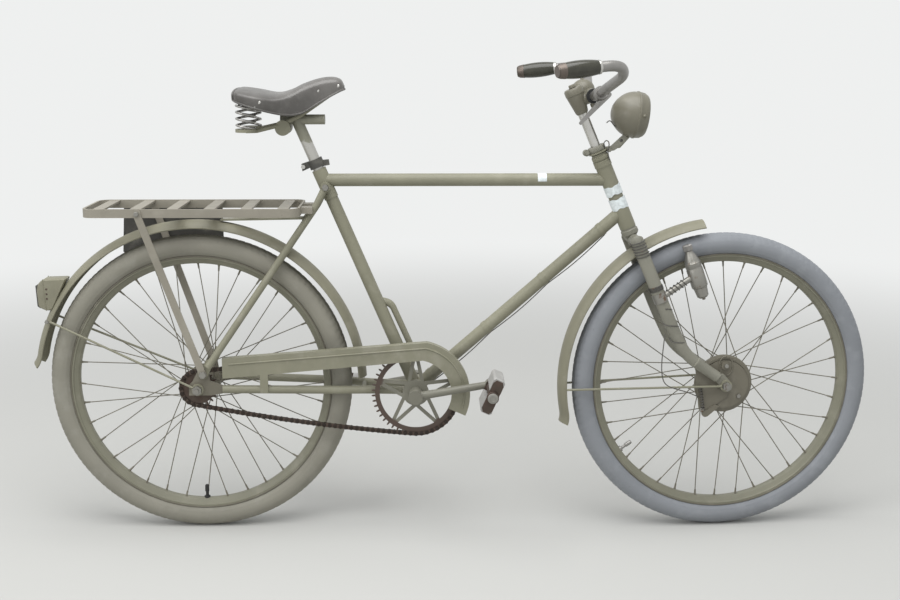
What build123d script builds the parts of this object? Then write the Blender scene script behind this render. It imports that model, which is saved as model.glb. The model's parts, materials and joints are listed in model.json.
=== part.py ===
"""Military bicycle with rear rack, chain guard, lamps and a front drum brake."""
from build123d import *
import math
import os

os.makedirs("parts", exist_ok=True)

# Working frame in mm: X forward, Y left, Z up, zero on the ground under the rear axle.
# Wheels
WHEEL_R = 345.0
TYRE_R = 26.0
RIM_EDGE_R = 298.5
RIM_DEPTH = 19.0
RIM_HALF_W = 17.0
SPOKE_R = 1.1
SPOKES = 36
AXLE_R = 4.8
RUN_GAP = 0.05
TOUCH_GAP = 0.3
WHEELBASE = 1195.0

# Frame
HEAD_ANGLE = 67.0
SEAT_ANGLE = 67.0
BB_X = 492.0
BB_Z = 332.0
TOP_TUBE_Z = 812.0
SEAT_TOP_Z = 836.0
TUBE_R = 14.2
HEAD_R = 16.5
HEAD_LOW = 418.0
HEAD_LEN = 150.0
DOWN_TUBE_UP = 39.0
LUG_T = 1.8
BB_R = 21.0
BB_HALF = 36.0
STAY_R = 9.3
SEAT_STAY_R = 8.0
DROP_IN = 56.0
DROP_T = 5.0

# Fork and steering
FORK_OFFSET = 65.0
BLADE_R = 12.5
BLADE_LOW_R = 9.5
BLADE_TOP_Y = 46.0
FORK_IN = 50.0
FORK_END_T = 5.0
STEERER_R = 12.7
STEER_REST = 4.2

# Drive
PITCH = 12.7
RING_TEETH = 48
COG_TEETH = 20
CHAIN_LINE = 48.0
ROLLER_R = 3.9
PLATE_R = 4.2
PLATE_T = 1.1
PLATE_IN = 1.9
CHAIN_SAG = 7.0
TOOTH_T = 2.6
TOOTH_GAP = 0.45
CRANK_LEN = 171.0
CRANK_UP = 10.0
CRANK_Y = 80.0
SPINDLE_R = 8.0
PEDAL_TILT = 24.0

# Mudguards
GUARD_R = 379.0
GUARD_HALF_W = 30.0
GUARD_RISE = 16.0
SHEET_T = 1.6
STAY_WIRE_R = 2.5
RING_T = 4.0
STAY_RING_R = 13.5

# Rack
RACK_Z = 758.0
RACK_HALF_W = 84.0
RACK_REAR = -234.0
RACK_FRONT = 240.0
RACK_BAR_H = 19.0
RACK_BAR_T = 5.0

# Rider's place on the saddle, and the origin of the finished part
RIDER_X = 200.0
RIDER_Z = 1003.0

HEAD_C = math.cos(math.radians(HEAD_ANGLE))
HEAD_S = math.sin(math.radians(HEAD_ANGLE))
SEAT_C = math.cos(math.radians(SEAT_ANGLE))
SEAT_S = math.sin(math.radians(SEAT_ANGLE))
REAR_AXLE = Vector(0, 0, WHEEL_R)
FRONT_AXLE = Vector(WHEELBASE, 0, WHEEL_R)
BB = Vector(BB_X, 0, BB_Z)
STEER_UP = Vector(-HEAD_C, 0, HEAD_S)
STEER_FWD = Vector(HEAD_S, 0, HEAD_C)
STEER_FOOT = FRONT_AXLE - STEER_FWD * FORK_OFFSET
RING_PR = PITCH / (2 * math.sin(math.pi / RING_TEETH))
COG_PR = PITCH / (2 * math.sin(math.pi / COG_TEETH))


def on_steer(up, forward=0.0, y=0.0):
    """Point by its height along the steering axis, offset forward and to the left."""
    return STEER_FOOT + STEER_UP * up + STEER_FWD * forward + Vector(0, y, 0)


def on_seat(z, y=0.0):
    """Point of the seat tube's axis at a height above the ground."""
    return Vector(BB_X - (z - BB_Z) * SEAT_C / SEAT_S, y, z)


def rod(p, q, r, r_end=None):
    """Round bar from p to q, tapered if an end radius is given."""
    p = Vector(*p)
    q = Vector(*q)
    plane = Plane(origin=p, z_dir=(q - p).normalized())
    length = (q - p).length
    low = (Align.CENTER, Align.CENTER, Align.MIN)
    if r_end is None:
        return plane * Cylinder(r, length, align=low)
    return plane * Cone(r, r_end, length, align=low)


def disc(centre, r, y0, y1):
    """Round plate about an axis along Y, between two Y values."""
    plane = Plane(origin=(centre.X, y0, centre.Z), z_dir=(0, 1, 0))
    return plane * Cylinder(r, y1 - y0, align=(Align.CENTER, Align.CENTER, Align.MIN))


def slab(points, y0, y1):
    """Plate with a straight-sided outline of (x, z) points, between two Y values."""
    face = make_face(Plane.XZ * Polyline(*points, close=True))
    return Pos(0, y0, 0) * extrude(face, y1 - y0, dir=(0, 1, 0))


def bent_rod(points, bend, r):
    """Round bar along a path of points with arcs of one radius at its corners."""
    path = FilletPolyline(*points, radius=bend)
    start = Plane(origin=path @ 0, z_dir=path % 0)
    return sweep(start * Circle(r), path=path)


def spun(points):
    """Solid turned about the Y axis from an outline of (y, radius) points."""
    face = make_face(Polyline(*[(p[1], p[0], 0) for p in points], close=True))
    return revolve(face, axis=Axis.Y)


def both_sides(shape):
    """The shape and its mirror image across the middle plane."""
    return [shape, shape.mirror(Plane.XZ)]


def largest(shape):
    """The biggest of the solids that a cut leaves."""
    return max(shape.solids(), key=lambda s: s.volume)


def joined(pieces):
    """One solid of pieces that meet."""
    first = pieces[0]
    return first.fuse(*pieces[1:]) if len(pieces) > 1 else first


# Wheels, each drawn about the origin and moved to its axle


def tyre():
    half = math.sqrt(TYRE_R**2 - (WHEEL_R - TYRE_R - RIM_EDGE_R) ** 2)
    seat = Line((RIM_EDGE_R, -half), (RIM_EDGE_R, half))
    crown = ThreePointArc((RIM_EDGE_R, half), (WHEEL_R, 0), (RIM_EDGE_R, -half))
    return revolve(make_face([seat, crown]), axis=Axis.Y)


def rim():
    bed = RIM_EDGE_R - RIM_DEPTH
    profile = [
        (-RIM_HALF_W, RIM_EDGE_R),
        (RIM_HALF_W, RIM_EDGE_R),
        (RIM_HALF_W, RIM_EDGE_R - 6),
        (RIM_HALF_W - 3, RIM_EDGE_R - 8),
        (9, bed + 3),
        (5, bed),
        (-5, bed),
        (-9, bed + 3),
        (-RIM_HALF_W + 3, RIM_EDGE_R - 8),
        (-RIM_HALF_W, RIM_EDGE_R - 6),
    ]
    return spun(profile)


def spokes(flange_r, flange_y, crossing):
    """One side's spokes, half of them leaning each way from the flange to the rim."""
    count = SPOKES // 2
    step = 360 / count
    reach = RIM_EDGE_R - RIM_DEPTH + 1.5
    side = math.copysign(1, flange_y)
    phase = 0 if side < 0 else step / 2
    bars = []
    for i in range(count):
        lean = 1 if i % 2 else -1
        a = math.radians(i * step + phase)
        b = math.radians(i * step + phase + lean * crossing)
        y = flange_y + lean * 1.6
        p = Vector(flange_r * math.cos(a), y, flange_r * math.sin(a))
        q = Vector(reach * math.cos(b), side * 3.5, reach * math.sin(b))
        bars.append(rod(p, q, SPOKE_R))
    return bars


def front_hub():
    """Drum hub with its spokes, open on the right for the brake plate."""
    profile = [
        (-38, 57), (-38, 62), (-34, 62), (-32, 67), (-28, 67), (-26, 62), (-16, 60), (-12, 40), (-8, 19),
        (24, 19), (27, 36), (31, 36), (33, 16), (44, 14),
        (44, AXLE_R + RUN_GAP), (-12, AXLE_R + RUN_GAP), (-12, 30), (-17, 57),
    ]
    shell = spun(profile)
    near = spokes(64.5, -30, 40)
    far = spokes(33.5, 29, 60)
    return joined([shell] + near + far) - rim()


def rear_hub():
    """Coaster brake hub with its spokes."""
    profile = [
        (-36, 20), (-33, 24), (-31, 35), (-27, 35), (-25, 24), (0, 22), (25, 26), (27, 37), (31, 37), (33, 27),
        (42, 25), (42, AXLE_R + RUN_GAP), (-36, AXLE_R + RUN_GAP),
    ]
    shell = spun(profile)
    near = spokes(32.5, -29, 60)
    far = spokes(34.5, 29, 60)
    return joined([shell] + near + far) - rim()


def toothed(teeth, pitch_r, y0, y1):
    """Disc with teeth that stand between the chain's rollers."""
    root = pitch_r - ROLLER_R - TOOTH_GAP
    tip = pitch_r + 3.6
    step = 2 * math.pi / teeth
    points = []
    for i in range(teeth):
        a = (i + 0.5) * step
        half_gap = (ROLLER_R + TOOTH_GAP) / pitch_r
        flank = step / 2 - half_gap
        for r, da in ((root, -flank), (pitch_r, -flank), (tip, -flank * 0.4), (tip, flank * 0.4),
                      (pitch_r, flank), (root, flank)):
            points.append((r * math.cos(a + da), r * math.sin(a + da)))
    return slab(points, y0, y1)


def rear_sprocket():
    y0 = -CHAIN_LINE - TOOTH_T / 2
    plate = toothed(COG_TEETH, COG_PR, y0, y0 + TOOTH_T)
    collar = disc(Vector(0, 0, 0), 17, -53, -37)
    bore = disc(Vector(0, 0, 0), AXLE_R + RUN_GAP, -60, -30)
    return joined([plate, collar]) - bore


# Drive


def chainring():
    """Toothed ring carried on ten bars that zigzag between five hub points and five ring points."""
    y0 = -CHAIN_LINE - TOOTH_T / 2
    y1 = y0 + TOOTH_T
    ring_in = RING_PR - 15
    centre = Vector(0, 0, 0)
    ring = toothed(RING_TEETH, RING_PR, y0, y1) - disc(centre, ring_in, y0 - 1, y1 + 1)
    hub = disc(centre, 30, y0, y1)
    bars = []
    for i in range(5):
        a = math.radians(-90 + 72 * i)
        for side in (-1, 1):
            b = a + side * math.radians(34)
            p = Vector(27 * math.cos(a), 0, 27 * math.sin(a))
            q = Vector((ring_in + 3) * math.cos(b), 0, (ring_in + 3) * math.sin(b))
            across = Vector(-(q - p).Z, 0, (q - p).X).normalized() * 4
            outline = [(v.X, v.Z) for v in (p + across, q + across, q - across, p - across)]
            bars.append(slab(outline, y0, y1))
    return joined([ring, hub] + bars)


def crank(side):
    """Crank arm on one side, drawn along +X from the spindle."""
    y_in = side * (CRANK_Y - 9)
    arm = rod((0, side * CRANK_Y, 0), (CRANK_LEN, side * (CRANK_Y + 5), 0), 9.5, 8)
    low, high = sorted((y_in - side * 3, y_in + side * 21))
    boss = disc(Vector(0, 0, 0), 16, low, high)
    e0, e1 = sorted((side * (CRANK_Y - 3), side * (CRANK_Y + 13)))
    eye = disc(Vector(CRANK_LEN, 0, 0), 12.5, e0, e1)
    return [arm, boss, eye]


def crankset():
    """Chainring, spindle and both cranks, turned to their resting angle."""
    bore_y = CRANK_Y + 30
    spindle = disc(Vector(0, 0, 0), SPINDLE_R, -CRANK_Y + 2, CRANK_Y - 2)
    carrier = disc(Vector(0, 0, 0), 15, -CRANK_Y + 5, -CHAIN_LINE + 1)
    right = crank(-1)
    left = [piece.rotate(Axis.Y, 180) for piece in crank(1)]
    ring = chainring().rotate(Axis.Y, CRANK_UP)
    solid = joined([ring, spindle, carrier] + right + left)
    for side, x in ((-1, CRANK_LEN), (1, -CRANK_LEN)):
        y0, y1 = sorted((side * (CRANK_Y - 20), side * bore_y))
        solid -= disc(Vector(x, 0, 0), 5 + RUN_GAP, y0, y1)
    return Pos(BB) * solid.rotate(Axis.Y, -CRANK_UP)


def pedal(side):
    """Pedal with two blocks between end plates, drawn about its own spindle."""
    y_in = CRANK_Y + 19
    y_out = y_in + 92
    spindle = disc(Vector(0, 0, 0), 5, CRANK_Y + 2, y_out - 1)
    sleeve = disc(Vector(0, 0, 0), 10, y_in, y_out)
    cap = disc(Vector(0, 0, 0), 13, y_out - 2, y_out + 8)
    plates = []
    for y0 in (y_in + 1, y_out - 4):
        outline = [(-38, -7), (-30, -12), (30, -12), (38, -7), (38, 7), (30, 12), (-30, 12), (-38, 7)]
        plates.append(slab(outline, y0, y0 + 3))
    solid = joined([spindle, sleeve, cap] + plates)
    if side < 0:
        solid = solid.mirror(Plane.XZ)
    return solid


def pedal_blocks(side):
    """The two blocks of a pedal, between its end plates."""
    y0 = CRANK_Y + 23
    y1 = y0 + 84
    blocks = []
    for sx in (-1, 1):
        outline = [(sx * 12, -13), (sx * 36, -13), (sx * 40, -9), (sx * 40, 9), (sx * 36, 13), (sx * 12, 13)]
        block = slab(outline, y0, y1)
        blocks.append(block)
    if side < 0:
        blocks = [block.mirror(Plane.XZ) for block in blocks]
    return blocks


def pedal_at(side, pieces):
    """Turn pedal pieces to their tilt and bring them to the crank's end."""
    a = math.radians(CRANK_UP)
    reach = CRANK_LEN * (1 if side < 0 else -1)
    spot = Vector(BB_X + reach * math.cos(a), 0, BB_Z + reach * math.sin(a))
    tilt = PEDAL_TILT - 90 if side < 0 else 0
    return [Pos(spot) * piece.rotate(Axis.Y, tilt) for piece in pieces]


def chain_pins():
    """Centres of the chain's pins round both toothed wheels, as (x, z) in order."""
    lean = math.atan2(BB_Z - WHEEL_R, BB_X)
    gap = math.hypot(BB_X, BB_Z - WHEEL_R)
    wrap = math.asin((RING_PR - COG_PR) / gap)
    ring_step = 2 * math.pi / RING_TEETH
    cog_step = 2 * math.pi / COG_TEETH
    ring_low = math.ceil((lean - math.pi / 2 - wrap) / ring_step)
    ring_high = math.floor((lean + math.pi / 2 + wrap) / ring_step)
    ring = [(BB_X, BB_Z, RING_PR, k * ring_step) for k in range(ring_low, ring_high + 1)]
    cog_low = math.ceil((lean + math.pi / 2 + wrap) / cog_step)
    cog_high = math.floor((lean + 3 * math.pi / 2 - wrap) / cog_step)
    cog = [(0, WHEEL_R, COG_PR, k * cog_step) for k in range(cog_low, cog_high + 1)]
    ring_pins = [(x + r * math.cos(a), z + r * math.sin(a)) for x, z, r, a in ring]
    cog_pins = [(x + r * math.cos(a), z + r * math.sin(a)) for x, z, r, a in cog]
    upper = run_pins(ring_pins[-1], cog_pins[0], 0, 0)
    odd = (len(ring_pins) + len(upper) + len(cog_pins)) % 2
    lower = run_pins(cog_pins[-1], ring_pins[0], CHAIN_SAG, odd)
    return ring_pins + upper + cog_pins + lower


def run_pins(p, q, sag, odd):
    """Pins strictly between p and q, evenly spread; odd asks for an odd number of them."""
    length = math.dist(p, q)
    links = round(length / PITCH)
    if (links - 1) % 2 != odd:
        links += 1 if length / PITCH > links else -1
    pins = []
    for i in range(1, links):
        t = i / links
        drop = 4 * sag * t * (1 - t)
        pins.append((p[0] + (q[0] - p[0]) * t, p[1] + (q[1] - p[1]) * t - drop))
    return pins


def link_plate(p, q, y0):
    """Side plate of one link, rounded about both pins."""
    ux, uz = (q[0] - p[0]) / math.dist(p, q), (q[1] - p[1]) / math.dist(p, q)
    nx, nz = -uz * PLATE_R, ux * PLATE_R
    ex, ez = ux * PLATE_R, uz * PLATE_R
    a, b = (p[0] + nx, p[1] + nz), (q[0] + nx, q[1] + nz)
    c, d = (q[0] - nx, q[1] - nz), (p[0] - nx, p[1] - nz)
    edges = [
        Line(a, b),
        ThreePointArc(b, (q[0] + ex, q[1] + ez), c),
        Line(c, d),
        ThreePointArc(d, (p[0] - ex, p[1] - ez), a),
    ]
    face = Plane.XZ * make_face(edges)
    return Pos(0, y0, 0) * extrude(face, PLATE_T, dir=(0, 1, 0))


def chain():
    """Roller chain of inner and outer links in turn, one closed loop."""
    pins = chain_pins()
    pieces = []
    reach = PLATE_IN + 2 * PLATE_T
    for i, p in enumerate(pins):
        q = pins[(i + 1) % len(pins)]
        inner = PLATE_IN if i % 2 else PLATE_IN + PLATE_T
        pieces.append(link_plate(p, q, -CHAIN_LINE + inner))
        pieces.append(link_plate(p, q, -CHAIN_LINE - inner - PLATE_T))
        spot = Vector(p[0], 0, p[1])
        pieces.append(disc(spot, 2.6, -CHAIN_LINE - reach, -CHAIN_LINE + reach))
    return joined(pieces)


def guard_outline(thin, beyond):
    """Side outline of the chain guard, thinner along its top and reaching beyond its open edges."""
    outer = RING_PR + 26 - thin
    inner = RING_PR - 16 - beyond
    rear_x = 57 - beyond
    rear_top = WHEEL_R + 72 - thin
    rear_low = WHEEL_R + 26 - beyond
    a0 = math.radians(78)
    a1 = math.radians(-24 - beyond)
    start = (BB_X + outer * math.cos(a0), BB_Z + outer * math.sin(a0))
    mid_a = (a0 + a1) / 2
    mid = (BB_X + outer * math.cos(mid_a), BB_Z + outer * math.sin(mid_a))
    tip = (BB_X + outer * math.cos(a1), BB_Z + outer * math.sin(a1))
    tip_in = (BB_X + inner * math.cos(a1), BB_Z + inner * math.sin(a1))
    mid_in = (BB_X + inner * math.cos(mid_a), BB_Z + inner * math.sin(mid_a))
    end_in = (BB_X + inner * math.cos(a0), BB_Z + inner * math.sin(a0))
    edges = [
        Line((rear_x, rear_top), start),
        ThreePointArc(start, mid, tip),
        Line(tip, tip_in),
        ThreePointArc(tip_in, mid_in, end_in),
        Line(end_in, (rear_x, rear_low)),
        Line((rear_x, rear_low), (rear_x, rear_top)),
    ]
    return Plane.XZ * make_face(edges)


GUARD_FACE_Y = 64.5
GUARD_BACK_Y = 46.0


def chain_guard():
    """Sheet guard over the upper run and round the front of the chainring."""
    depth = GUARD_FACE_Y - GUARD_BACK_Y
    outer = Pos(0, -GUARD_FACE_Y, 0) * extrude(guard_outline(0, 0), depth, dir=(0, 1, 0))
    inside = guard_outline(SHEET_T, 6)
    hollow = Pos(0, -GUARD_FACE_Y + SHEET_T, 0) * extrude(inside, depth + 5, dir=(0, 1, 0))
    tab_x = 150
    tab = slab([(tab_x - 9, WHEEL_R - 8), (tab_x + 9, WHEEL_R - 8), (tab_x + 9, WHEEL_R + 48), (tab_x - 9, WHEEL_R + 48)],
               -GUARD_FACE_Y, -GUARD_FACE_Y + 5)
    return largest(joined([outer - hollow, tab]) - chain_stays()[1])


# Frame


def head_tube():
    low = on_steer(HEAD_LOW)
    high = on_steer(HEAD_LOW + HEAD_LEN)
    tube = rod(low, high, HEAD_R)
    bands = []
    for start, length in ((0, 62), (HEAD_LEN - 58, 58)):
        bands.append(rod(on_steer(HEAD_LOW + start), on_steer(HEAD_LOW + start + length), HEAD_R + LUG_T))
    bore = rod(on_steer(HEAD_LOW - 1), on_steer(HEAD_LOW + HEAD_LEN + 1), STEERER_R + 1)
    return joined([tube] + bands) - bore


def seat_tube():
    low = on_seat(BB_Z)
    high = on_seat(SEAT_TOP_Z)
    lug = rod(on_seat(TOP_TUBE_Z - 40), high, TUBE_R + LUG_T)
    tube = joined([rod(low, high, TUBE_R), lug])
    return tube - disc(BB, BB_R, -60, 60) - rod(on_seat(BB_Z), on_seat(SEAT_TOP_Z + 9), POST_R + RUN_GAP)


POST_R = 12.5


def top_tube():
    x_seat = on_seat(TOP_TUBE_Z).X
    x_head = BB_X + 500
    tube = rod((x_seat, 0, TOP_TUBE_Z), (x_head, 0, TOP_TUBE_Z), TUBE_R)
    beyond = rod(on_steer(HEAD_LOW - 40), on_steer(HEAD_LOW + HEAD_LEN + 40), HEAD_R + LUG_T)
    keep = Pos(600, 0, TOP_TUBE_Z) * Box(700, 80, 80)
    tube = (tube & keep) - beyond
    tube = tube - rod(on_seat(TOP_TUBE_Z - 60), on_seat(TOP_TUBE_Z + 60), TUBE_R + LUG_T)
    return largest(tube)


def down_tube():
    high = on_steer(HEAD_LOW + DOWN_TUBE_UP)
    tube = rod(BB, high, TUBE_R)
    tube = tube - rod(on_steer(HEAD_LOW - 60), on_steer(HEAD_LOW + HEAD_LEN), HEAD_R + LUG_T)
    tube = tube - disc(BB, BB_R, -60, 60)
    return largest(largest(tube) - seat_tube())


def bottom_bracket():
    shell = disc(BB, BB_R, -BB_HALF, BB_HALF)
    return shell - disc(BB, SPINDLE_R + RUN_GAP, -60, 60)


def chain_stays():
    """Both chain stays, bent in past the chainring and out round the tyre."""
    path = [
        (BB_X - 8, 27, BB_Z),
        (BB_X - 105, 31, BB_Z + 3),
        (BB_X - 175, 42, BB_Z + 6),
        (56, DROP_IN + DROP_T / 2, WHEEL_R),
    ]
    stay = bent_rod(path, 40, STAY_R) - disc(BB, BB_R, -60, 60)
    stay = largest(stay) - seat_tube() - dropouts()[0]
    return both_sides(largest(stay))


def dropouts():
    """Plates that carry the rear axle, with a tab for the seat stay and rack bolts."""
    outline = [
        (-20, WHEEL_R - 14), (30, WHEEL_R - 14), (56, WHEEL_R - STAY_R), (56, WHEEL_R + STAY_R),
        (28, WHEEL_R + 20), (24, WHEEL_R + 48), (4, WHEEL_R + 48), (-12, WHEEL_R + 18), (-20, WHEEL_R + 10),
    ]
    plate = slab(outline, DROP_IN, DROP_IN + DROP_T)
    plate = plate - disc(REAR_AXLE, AXLE_R, 0, 100) - disc(STAY_BOLT, STAY_BOLT_R, 0, 100)
    return both_sides(plate)


STAY_BOLT = Vector(14, 0, WHEEL_R + 36)
STAY_BOLT_R = 4.0
EYE_T = 4.0
STAY_TOP_Y = 26.0


def seat_stays():
    """Seat stays with flat lower eyes and flat tops bolted to the seat lug."""
    top = on_seat(TOP_TUBE_Z - 14)
    y_eye = DROP_IN + DROP_T
    foot = Vector(STAY_BOLT.X + 12, y_eye + SEAT_STAY_R, STAY_BOLT.Z + 18)
    head = Vector(top.X - 22, STAY_TOP_Y + 1, top.Z - 42)
    ear_end = Vector(top.X - 4, STAY_TOP_Y - 3, top.Z - 6)
    tube = bent_rod([foot, head, ear_end], 60, SEAT_STAY_R)
    eye = disc(STAY_BOLT, 11, y_eye, y_eye + EYE_T)
    neck = slab([(STAY_BOLT.X - 9, STAY_BOLT.Z), (STAY_BOLT.X + 9, STAY_BOLT.Z - 6),
                 (foot.X + 13, foot.Z + 9), (foot.X - 4, foot.Z + 16)], y_eye, y_eye + EYE_T)
    tip = disc(Vector(top.X, 0, top.Z), 11, TUBE_R + LUG_T, STAY_TOP_Y + 2)
    stay = joined([tube, eye, neck, tip]) - disc(STAY_BOLT, STAY_BOLT_R, 0, 100)
    stay = stay - rod(on_seat(TOP_TUBE_Z - 120), on_seat(TOP_TUBE_Z + 60), TUBE_R + LUG_T)
    stay = stay - slab([(-40, WHEEL_R - 40), (60, WHEEL_R - 40), (60, WHEEL_R + 50), (-40, WHEEL_R + 50)],
                       DROP_IN, DROP_IN + DROP_T)
    return both_sides(largest(stay))


def rear_axle():
    """Axle rod with its nuts and the bolts of the stays."""
    pieces = [disc(REAR_AXLE, AXLE_R, -80, 80)]
    for y0 in (-DROP_IN - DROP_T - RING_T - 10, DROP_IN + DROP_T + RING_T):
        nut = Plane(origin=(0, y0, WHEEL_R), z_dir=(0, 1, 0)) * extrude(RegularPolygon(11, 6), 10)
        pieces.append(nut)
    return joined(pieces)


def stay_bolts():
    bolt = disc(STAY_BOLT, STAY_BOLT_R, DROP_IN, DROP_IN + DROP_T + EYE_T + RACK_STRUT_T)
    head = disc(STAY_BOLT, 7, DROP_IN + DROP_T + EYE_T + RACK_STRUT_T, DROP_IN + DROP_T + EYE_T + RACK_STRUT_T + 5)
    return both_sides(joined([bolt, head]))


RACK_STRUT_T = 4.0


# Rack


def rack_rails():
    """Flat bar bent on edge into a loop, with cross slats."""
    mid = (RACK_REAR + RACK_FRONT) / 2
    length = RACK_FRONT - RACK_REAR
    outer = Rectangle(length, 2 * RACK_HALF_W)
    outer = fillet(outer.vertices(), 24)
    inner = Rectangle(length - 2 * RACK_BAR_T, 2 * RACK_HALF_W - 2 * RACK_BAR_T)
    inner = fillet(inner.vertices(), 24 - RACK_BAR_T)
    loop = Pos(mid, 0, RACK_Z - RACK_BAR_H) * extrude(outer - inner, RACK_BAR_H)
    slats = []
    for i in range(6):
        x = RACK_REAR + 36 + i * (length - 72) / 5
        slats.append(Pos(x, 0, RACK_Z - 3) * Box(24, 2 * (RACK_HALF_W - RACK_BAR_T) + 1, 4))
    return joined([loop] + slats)


def rack_struts():
    """Flat struts from the rack's sides to the stay bolts."""
    y_eye = DROP_IN + DROP_T + EYE_T
    top = Vector(-112, RACK_HALF_W, RACK_Z - 10)
    low = Vector(STAY_BOLT.X, y_eye, STAY_BOLT.Z)
    line = (low - top).normalized()
    side = Vector(0, 1, 0)
    across = line.cross(side).normalized()
    plane = Plane(origin=(top + low) * 0.5 + Vector(0, RACK_STRUT_T / 2, 0), x_dir=line, z_dir=across.cross(line))
    length = (low - top).length
    bar = plane * Box(length, 16, RACK_STRUT_T)
    head = disc(top, 9, RACK_HALF_W, RACK_HALF_W + RACK_STRUT_T)
    foot = disc(low, 9, y_eye, y_eye + RACK_STRUT_T)
    strut = joined([bar, head, foot]) - disc(STAY_BOLT, STAY_BOLT_R, 0, 100)
    strut = strut - Pos(0, 0, RACK_Z) * Box(900, 2 * RACK_HALF_W, 2 * RACK_BAR_H)
    return both_sides(largest(strut - stay_bolts()[0] - seat_stays()[0]))


# Mudguards


def guard_arc(axle, first, last):
    """Arched sheet about a wheel, from one angle to another in degrees above forward."""
    half = GUARD_HALF_W
    edge = GUARD_R - GUARD_RISE
    out = ThreePointArc((edge, -half), (GUARD_R, 0), (edge, half))
    back = ThreePointArc((edge, half - SHEET_T), (GUARD_R - SHEET_T, 0), (edge, -half + SHEET_T))
    ends = [Line((edge, half), (edge, half - SHEET_T)), Line((edge, -half + SHEET_T), (edge, -half))]
    face = make_face([out, back] + ends)
    sheet = revolve(face, axis=Axis.Y, revolution_arc=last - first)
    return Pos(axle) * sheet.rotate(Axis.Y, -last)


def rear_mudguard():
    return guard_arc(REAR_AXLE, 2.5, 175)


def front_mudguard():
    return guard_arc(FRONT_AXLE, 97, 197)


# Fork and steering, drawn straight ahead


CROWN_LOW = 378.0
CROWN_HIGH = 402.0


def fork():
    """Crown, steerer and both blades with their ends, one welded piece."""
    bend = on_steer(170, 0, 0)
    steerer = rod(on_steer(CROWN_LOW), on_steer(HEAD_LOW + HEAD_LEN + 34), STEERER_R)
    race = rod(on_steer(CROWN_HIGH - 4), on_steer(HEAD_LOW), HEAD_R + 3)
    crown = rod(on_steer((CROWN_LOW + CROWN_HIGH) / 2, 0, -BLADE_TOP_Y),
                on_steer((CROWN_LOW + CROWN_HIGH) / 2, 0, BLADE_TOP_Y), 12)
    pieces = [steerer, race, crown]
    for side in (-1, 1):
        y_low = side * (FORK_IN + 3)
        top = on_steer(CROWN_HIGH, 0, side * BLADE_TOP_Y)
        knee = on_steer(175, 0, y_low)
        end = Vector(FRONT_AXLE.X - 21, y_low, FRONT_AXLE.Z + 21)
        pieces.append(rod(top, knee, BLADE_R, BLADE_LOW_R + 1))
        foot = bent_rod([knee, on_steer(105, 4, y_low), end], 90, BLADE_LOW_R)
        pieces.append(foot)
        pieces.append(Pos(knee) * Sphere(BLADE_LOW_R + 1))
        low, high = sorted((side * FORK_IN, side * (FORK_IN + FORK_END_T)))
        outline = [(FRONT_AXLE.X - 26, WHEEL_R + 14), (FRONT_AXLE.X - 8, WHEEL_R + 30),
                   (FRONT_AXLE.X + 13, WHEEL_R + 6), (FRONT_AXLE.X + 12, WHEEL_R - 10),
                   (FRONT_AXLE.X - 4, WHEEL_R - 13)]
        pieces.append(slab(outline, low, high))
    solid = joined(pieces)
    solid = solid - disc(FRONT_AXLE, AXLE_R, -90, 90)
    for y0 in (-90, FORK_IN + FORK_END_T):
        solid = solid - disc(FRONT_AXLE, 14, y0, y0 + 35)
    return largest(solid)


def front_axle():
    pieces = [disc(FRONT_AXLE, AXLE_R, -72, 72)]
    for y0 in (-FORK_IN - FORK_END_T - RING_T - 10, FORK_IN + FORK_END_T + RING_T):
        nut = Plane(origin=(FRONT_AXLE.X, y0, WHEEL_R), z_dir=(0, 1, 0)) * extrude(RegularPolygon(10.5, 6), 10)
        pieces.append(nut)
    return joined(pieces)


def stem():
    """Quill, head block and bar clamp."""
    foot = on_steer(HEAD_LOW + HEAD_LEN + 34)
    knee = on_steer(720)
    quill = rod(foot, knee, 11.1)
    body = rod(on_steer(706), on_steer(738), 16)
    arm = rod(on_steer(722), BAR_CENTRE, 13)
    clamp = rod(BAR_CENTRE + Vector(0, -22, 0), BAR_CENTRE + Vector(0, 22, 0), 17)
    return joined([quill, body, arm, clamp]) - rod(BAR_CENTRE + Vector(0, -40, 0), BAR_CENTRE + Vector(0, 40, 0), BAR_R)


BAR_CENTRE = on_steer(722, 33)
BAR_R = 11.1


def bar_path():
    """Corner points of the left half of the handlebar, from the clamp to its end."""
    c = BAR_CENTRE
    return [
        c,
        c + Vector(2, 45, 0),
        c + Vector(42, 205, 62),
        c + Vector(20, 262, 78),
        c + Vector(-120, 300, 66),
    ]


def handlebar():
    left = bent_rod(bar_path(), 26, BAR_R)
    right = left.mirror(Plane.XZ)
    return left.fuse(right)


def grips():
    end = bar_path()[-1]
    start = bar_path()[-2]
    line = (end - start).normalized()
    a = end - line * 112
    body = joined([rod(a, a + line * 60, 14.5, 17), rod(a + line * 60, end + line * 6, 17, 15)])
    body = body - rod(a - line * 5, end, BAR_R)
    return both_sides(body)


def headset():
    """Upper bearing cups and lock nut round the steerer."""
    top = HEAD_LOW + HEAD_LEN
    cups = joined([rod(on_steer(top), on_steer(top + 14), HEAD_R + 3), rod(on_steer(top + 14), on_steer(top + 30), 17)])
    return cups - rod(on_steer(top - 1), on_steer(top + 40), STEERER_R)


LAMP_CENTRE = Vector(982, 0, 955)
LAMP_R = 47.0
LAMP_DROP = 10.0


def lamp_turned(profile):
    """Solid turned about the headlamp's axis from edges in (radius, forward)."""
    solid = revolve(make_face(profile), axis=Axis.Y)
    turned = solid.rotate(Axis.Z, -90).rotate(Axis.Y, LAMP_DROP)
    return Pos(LAMP_CENTRE) * turned


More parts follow.
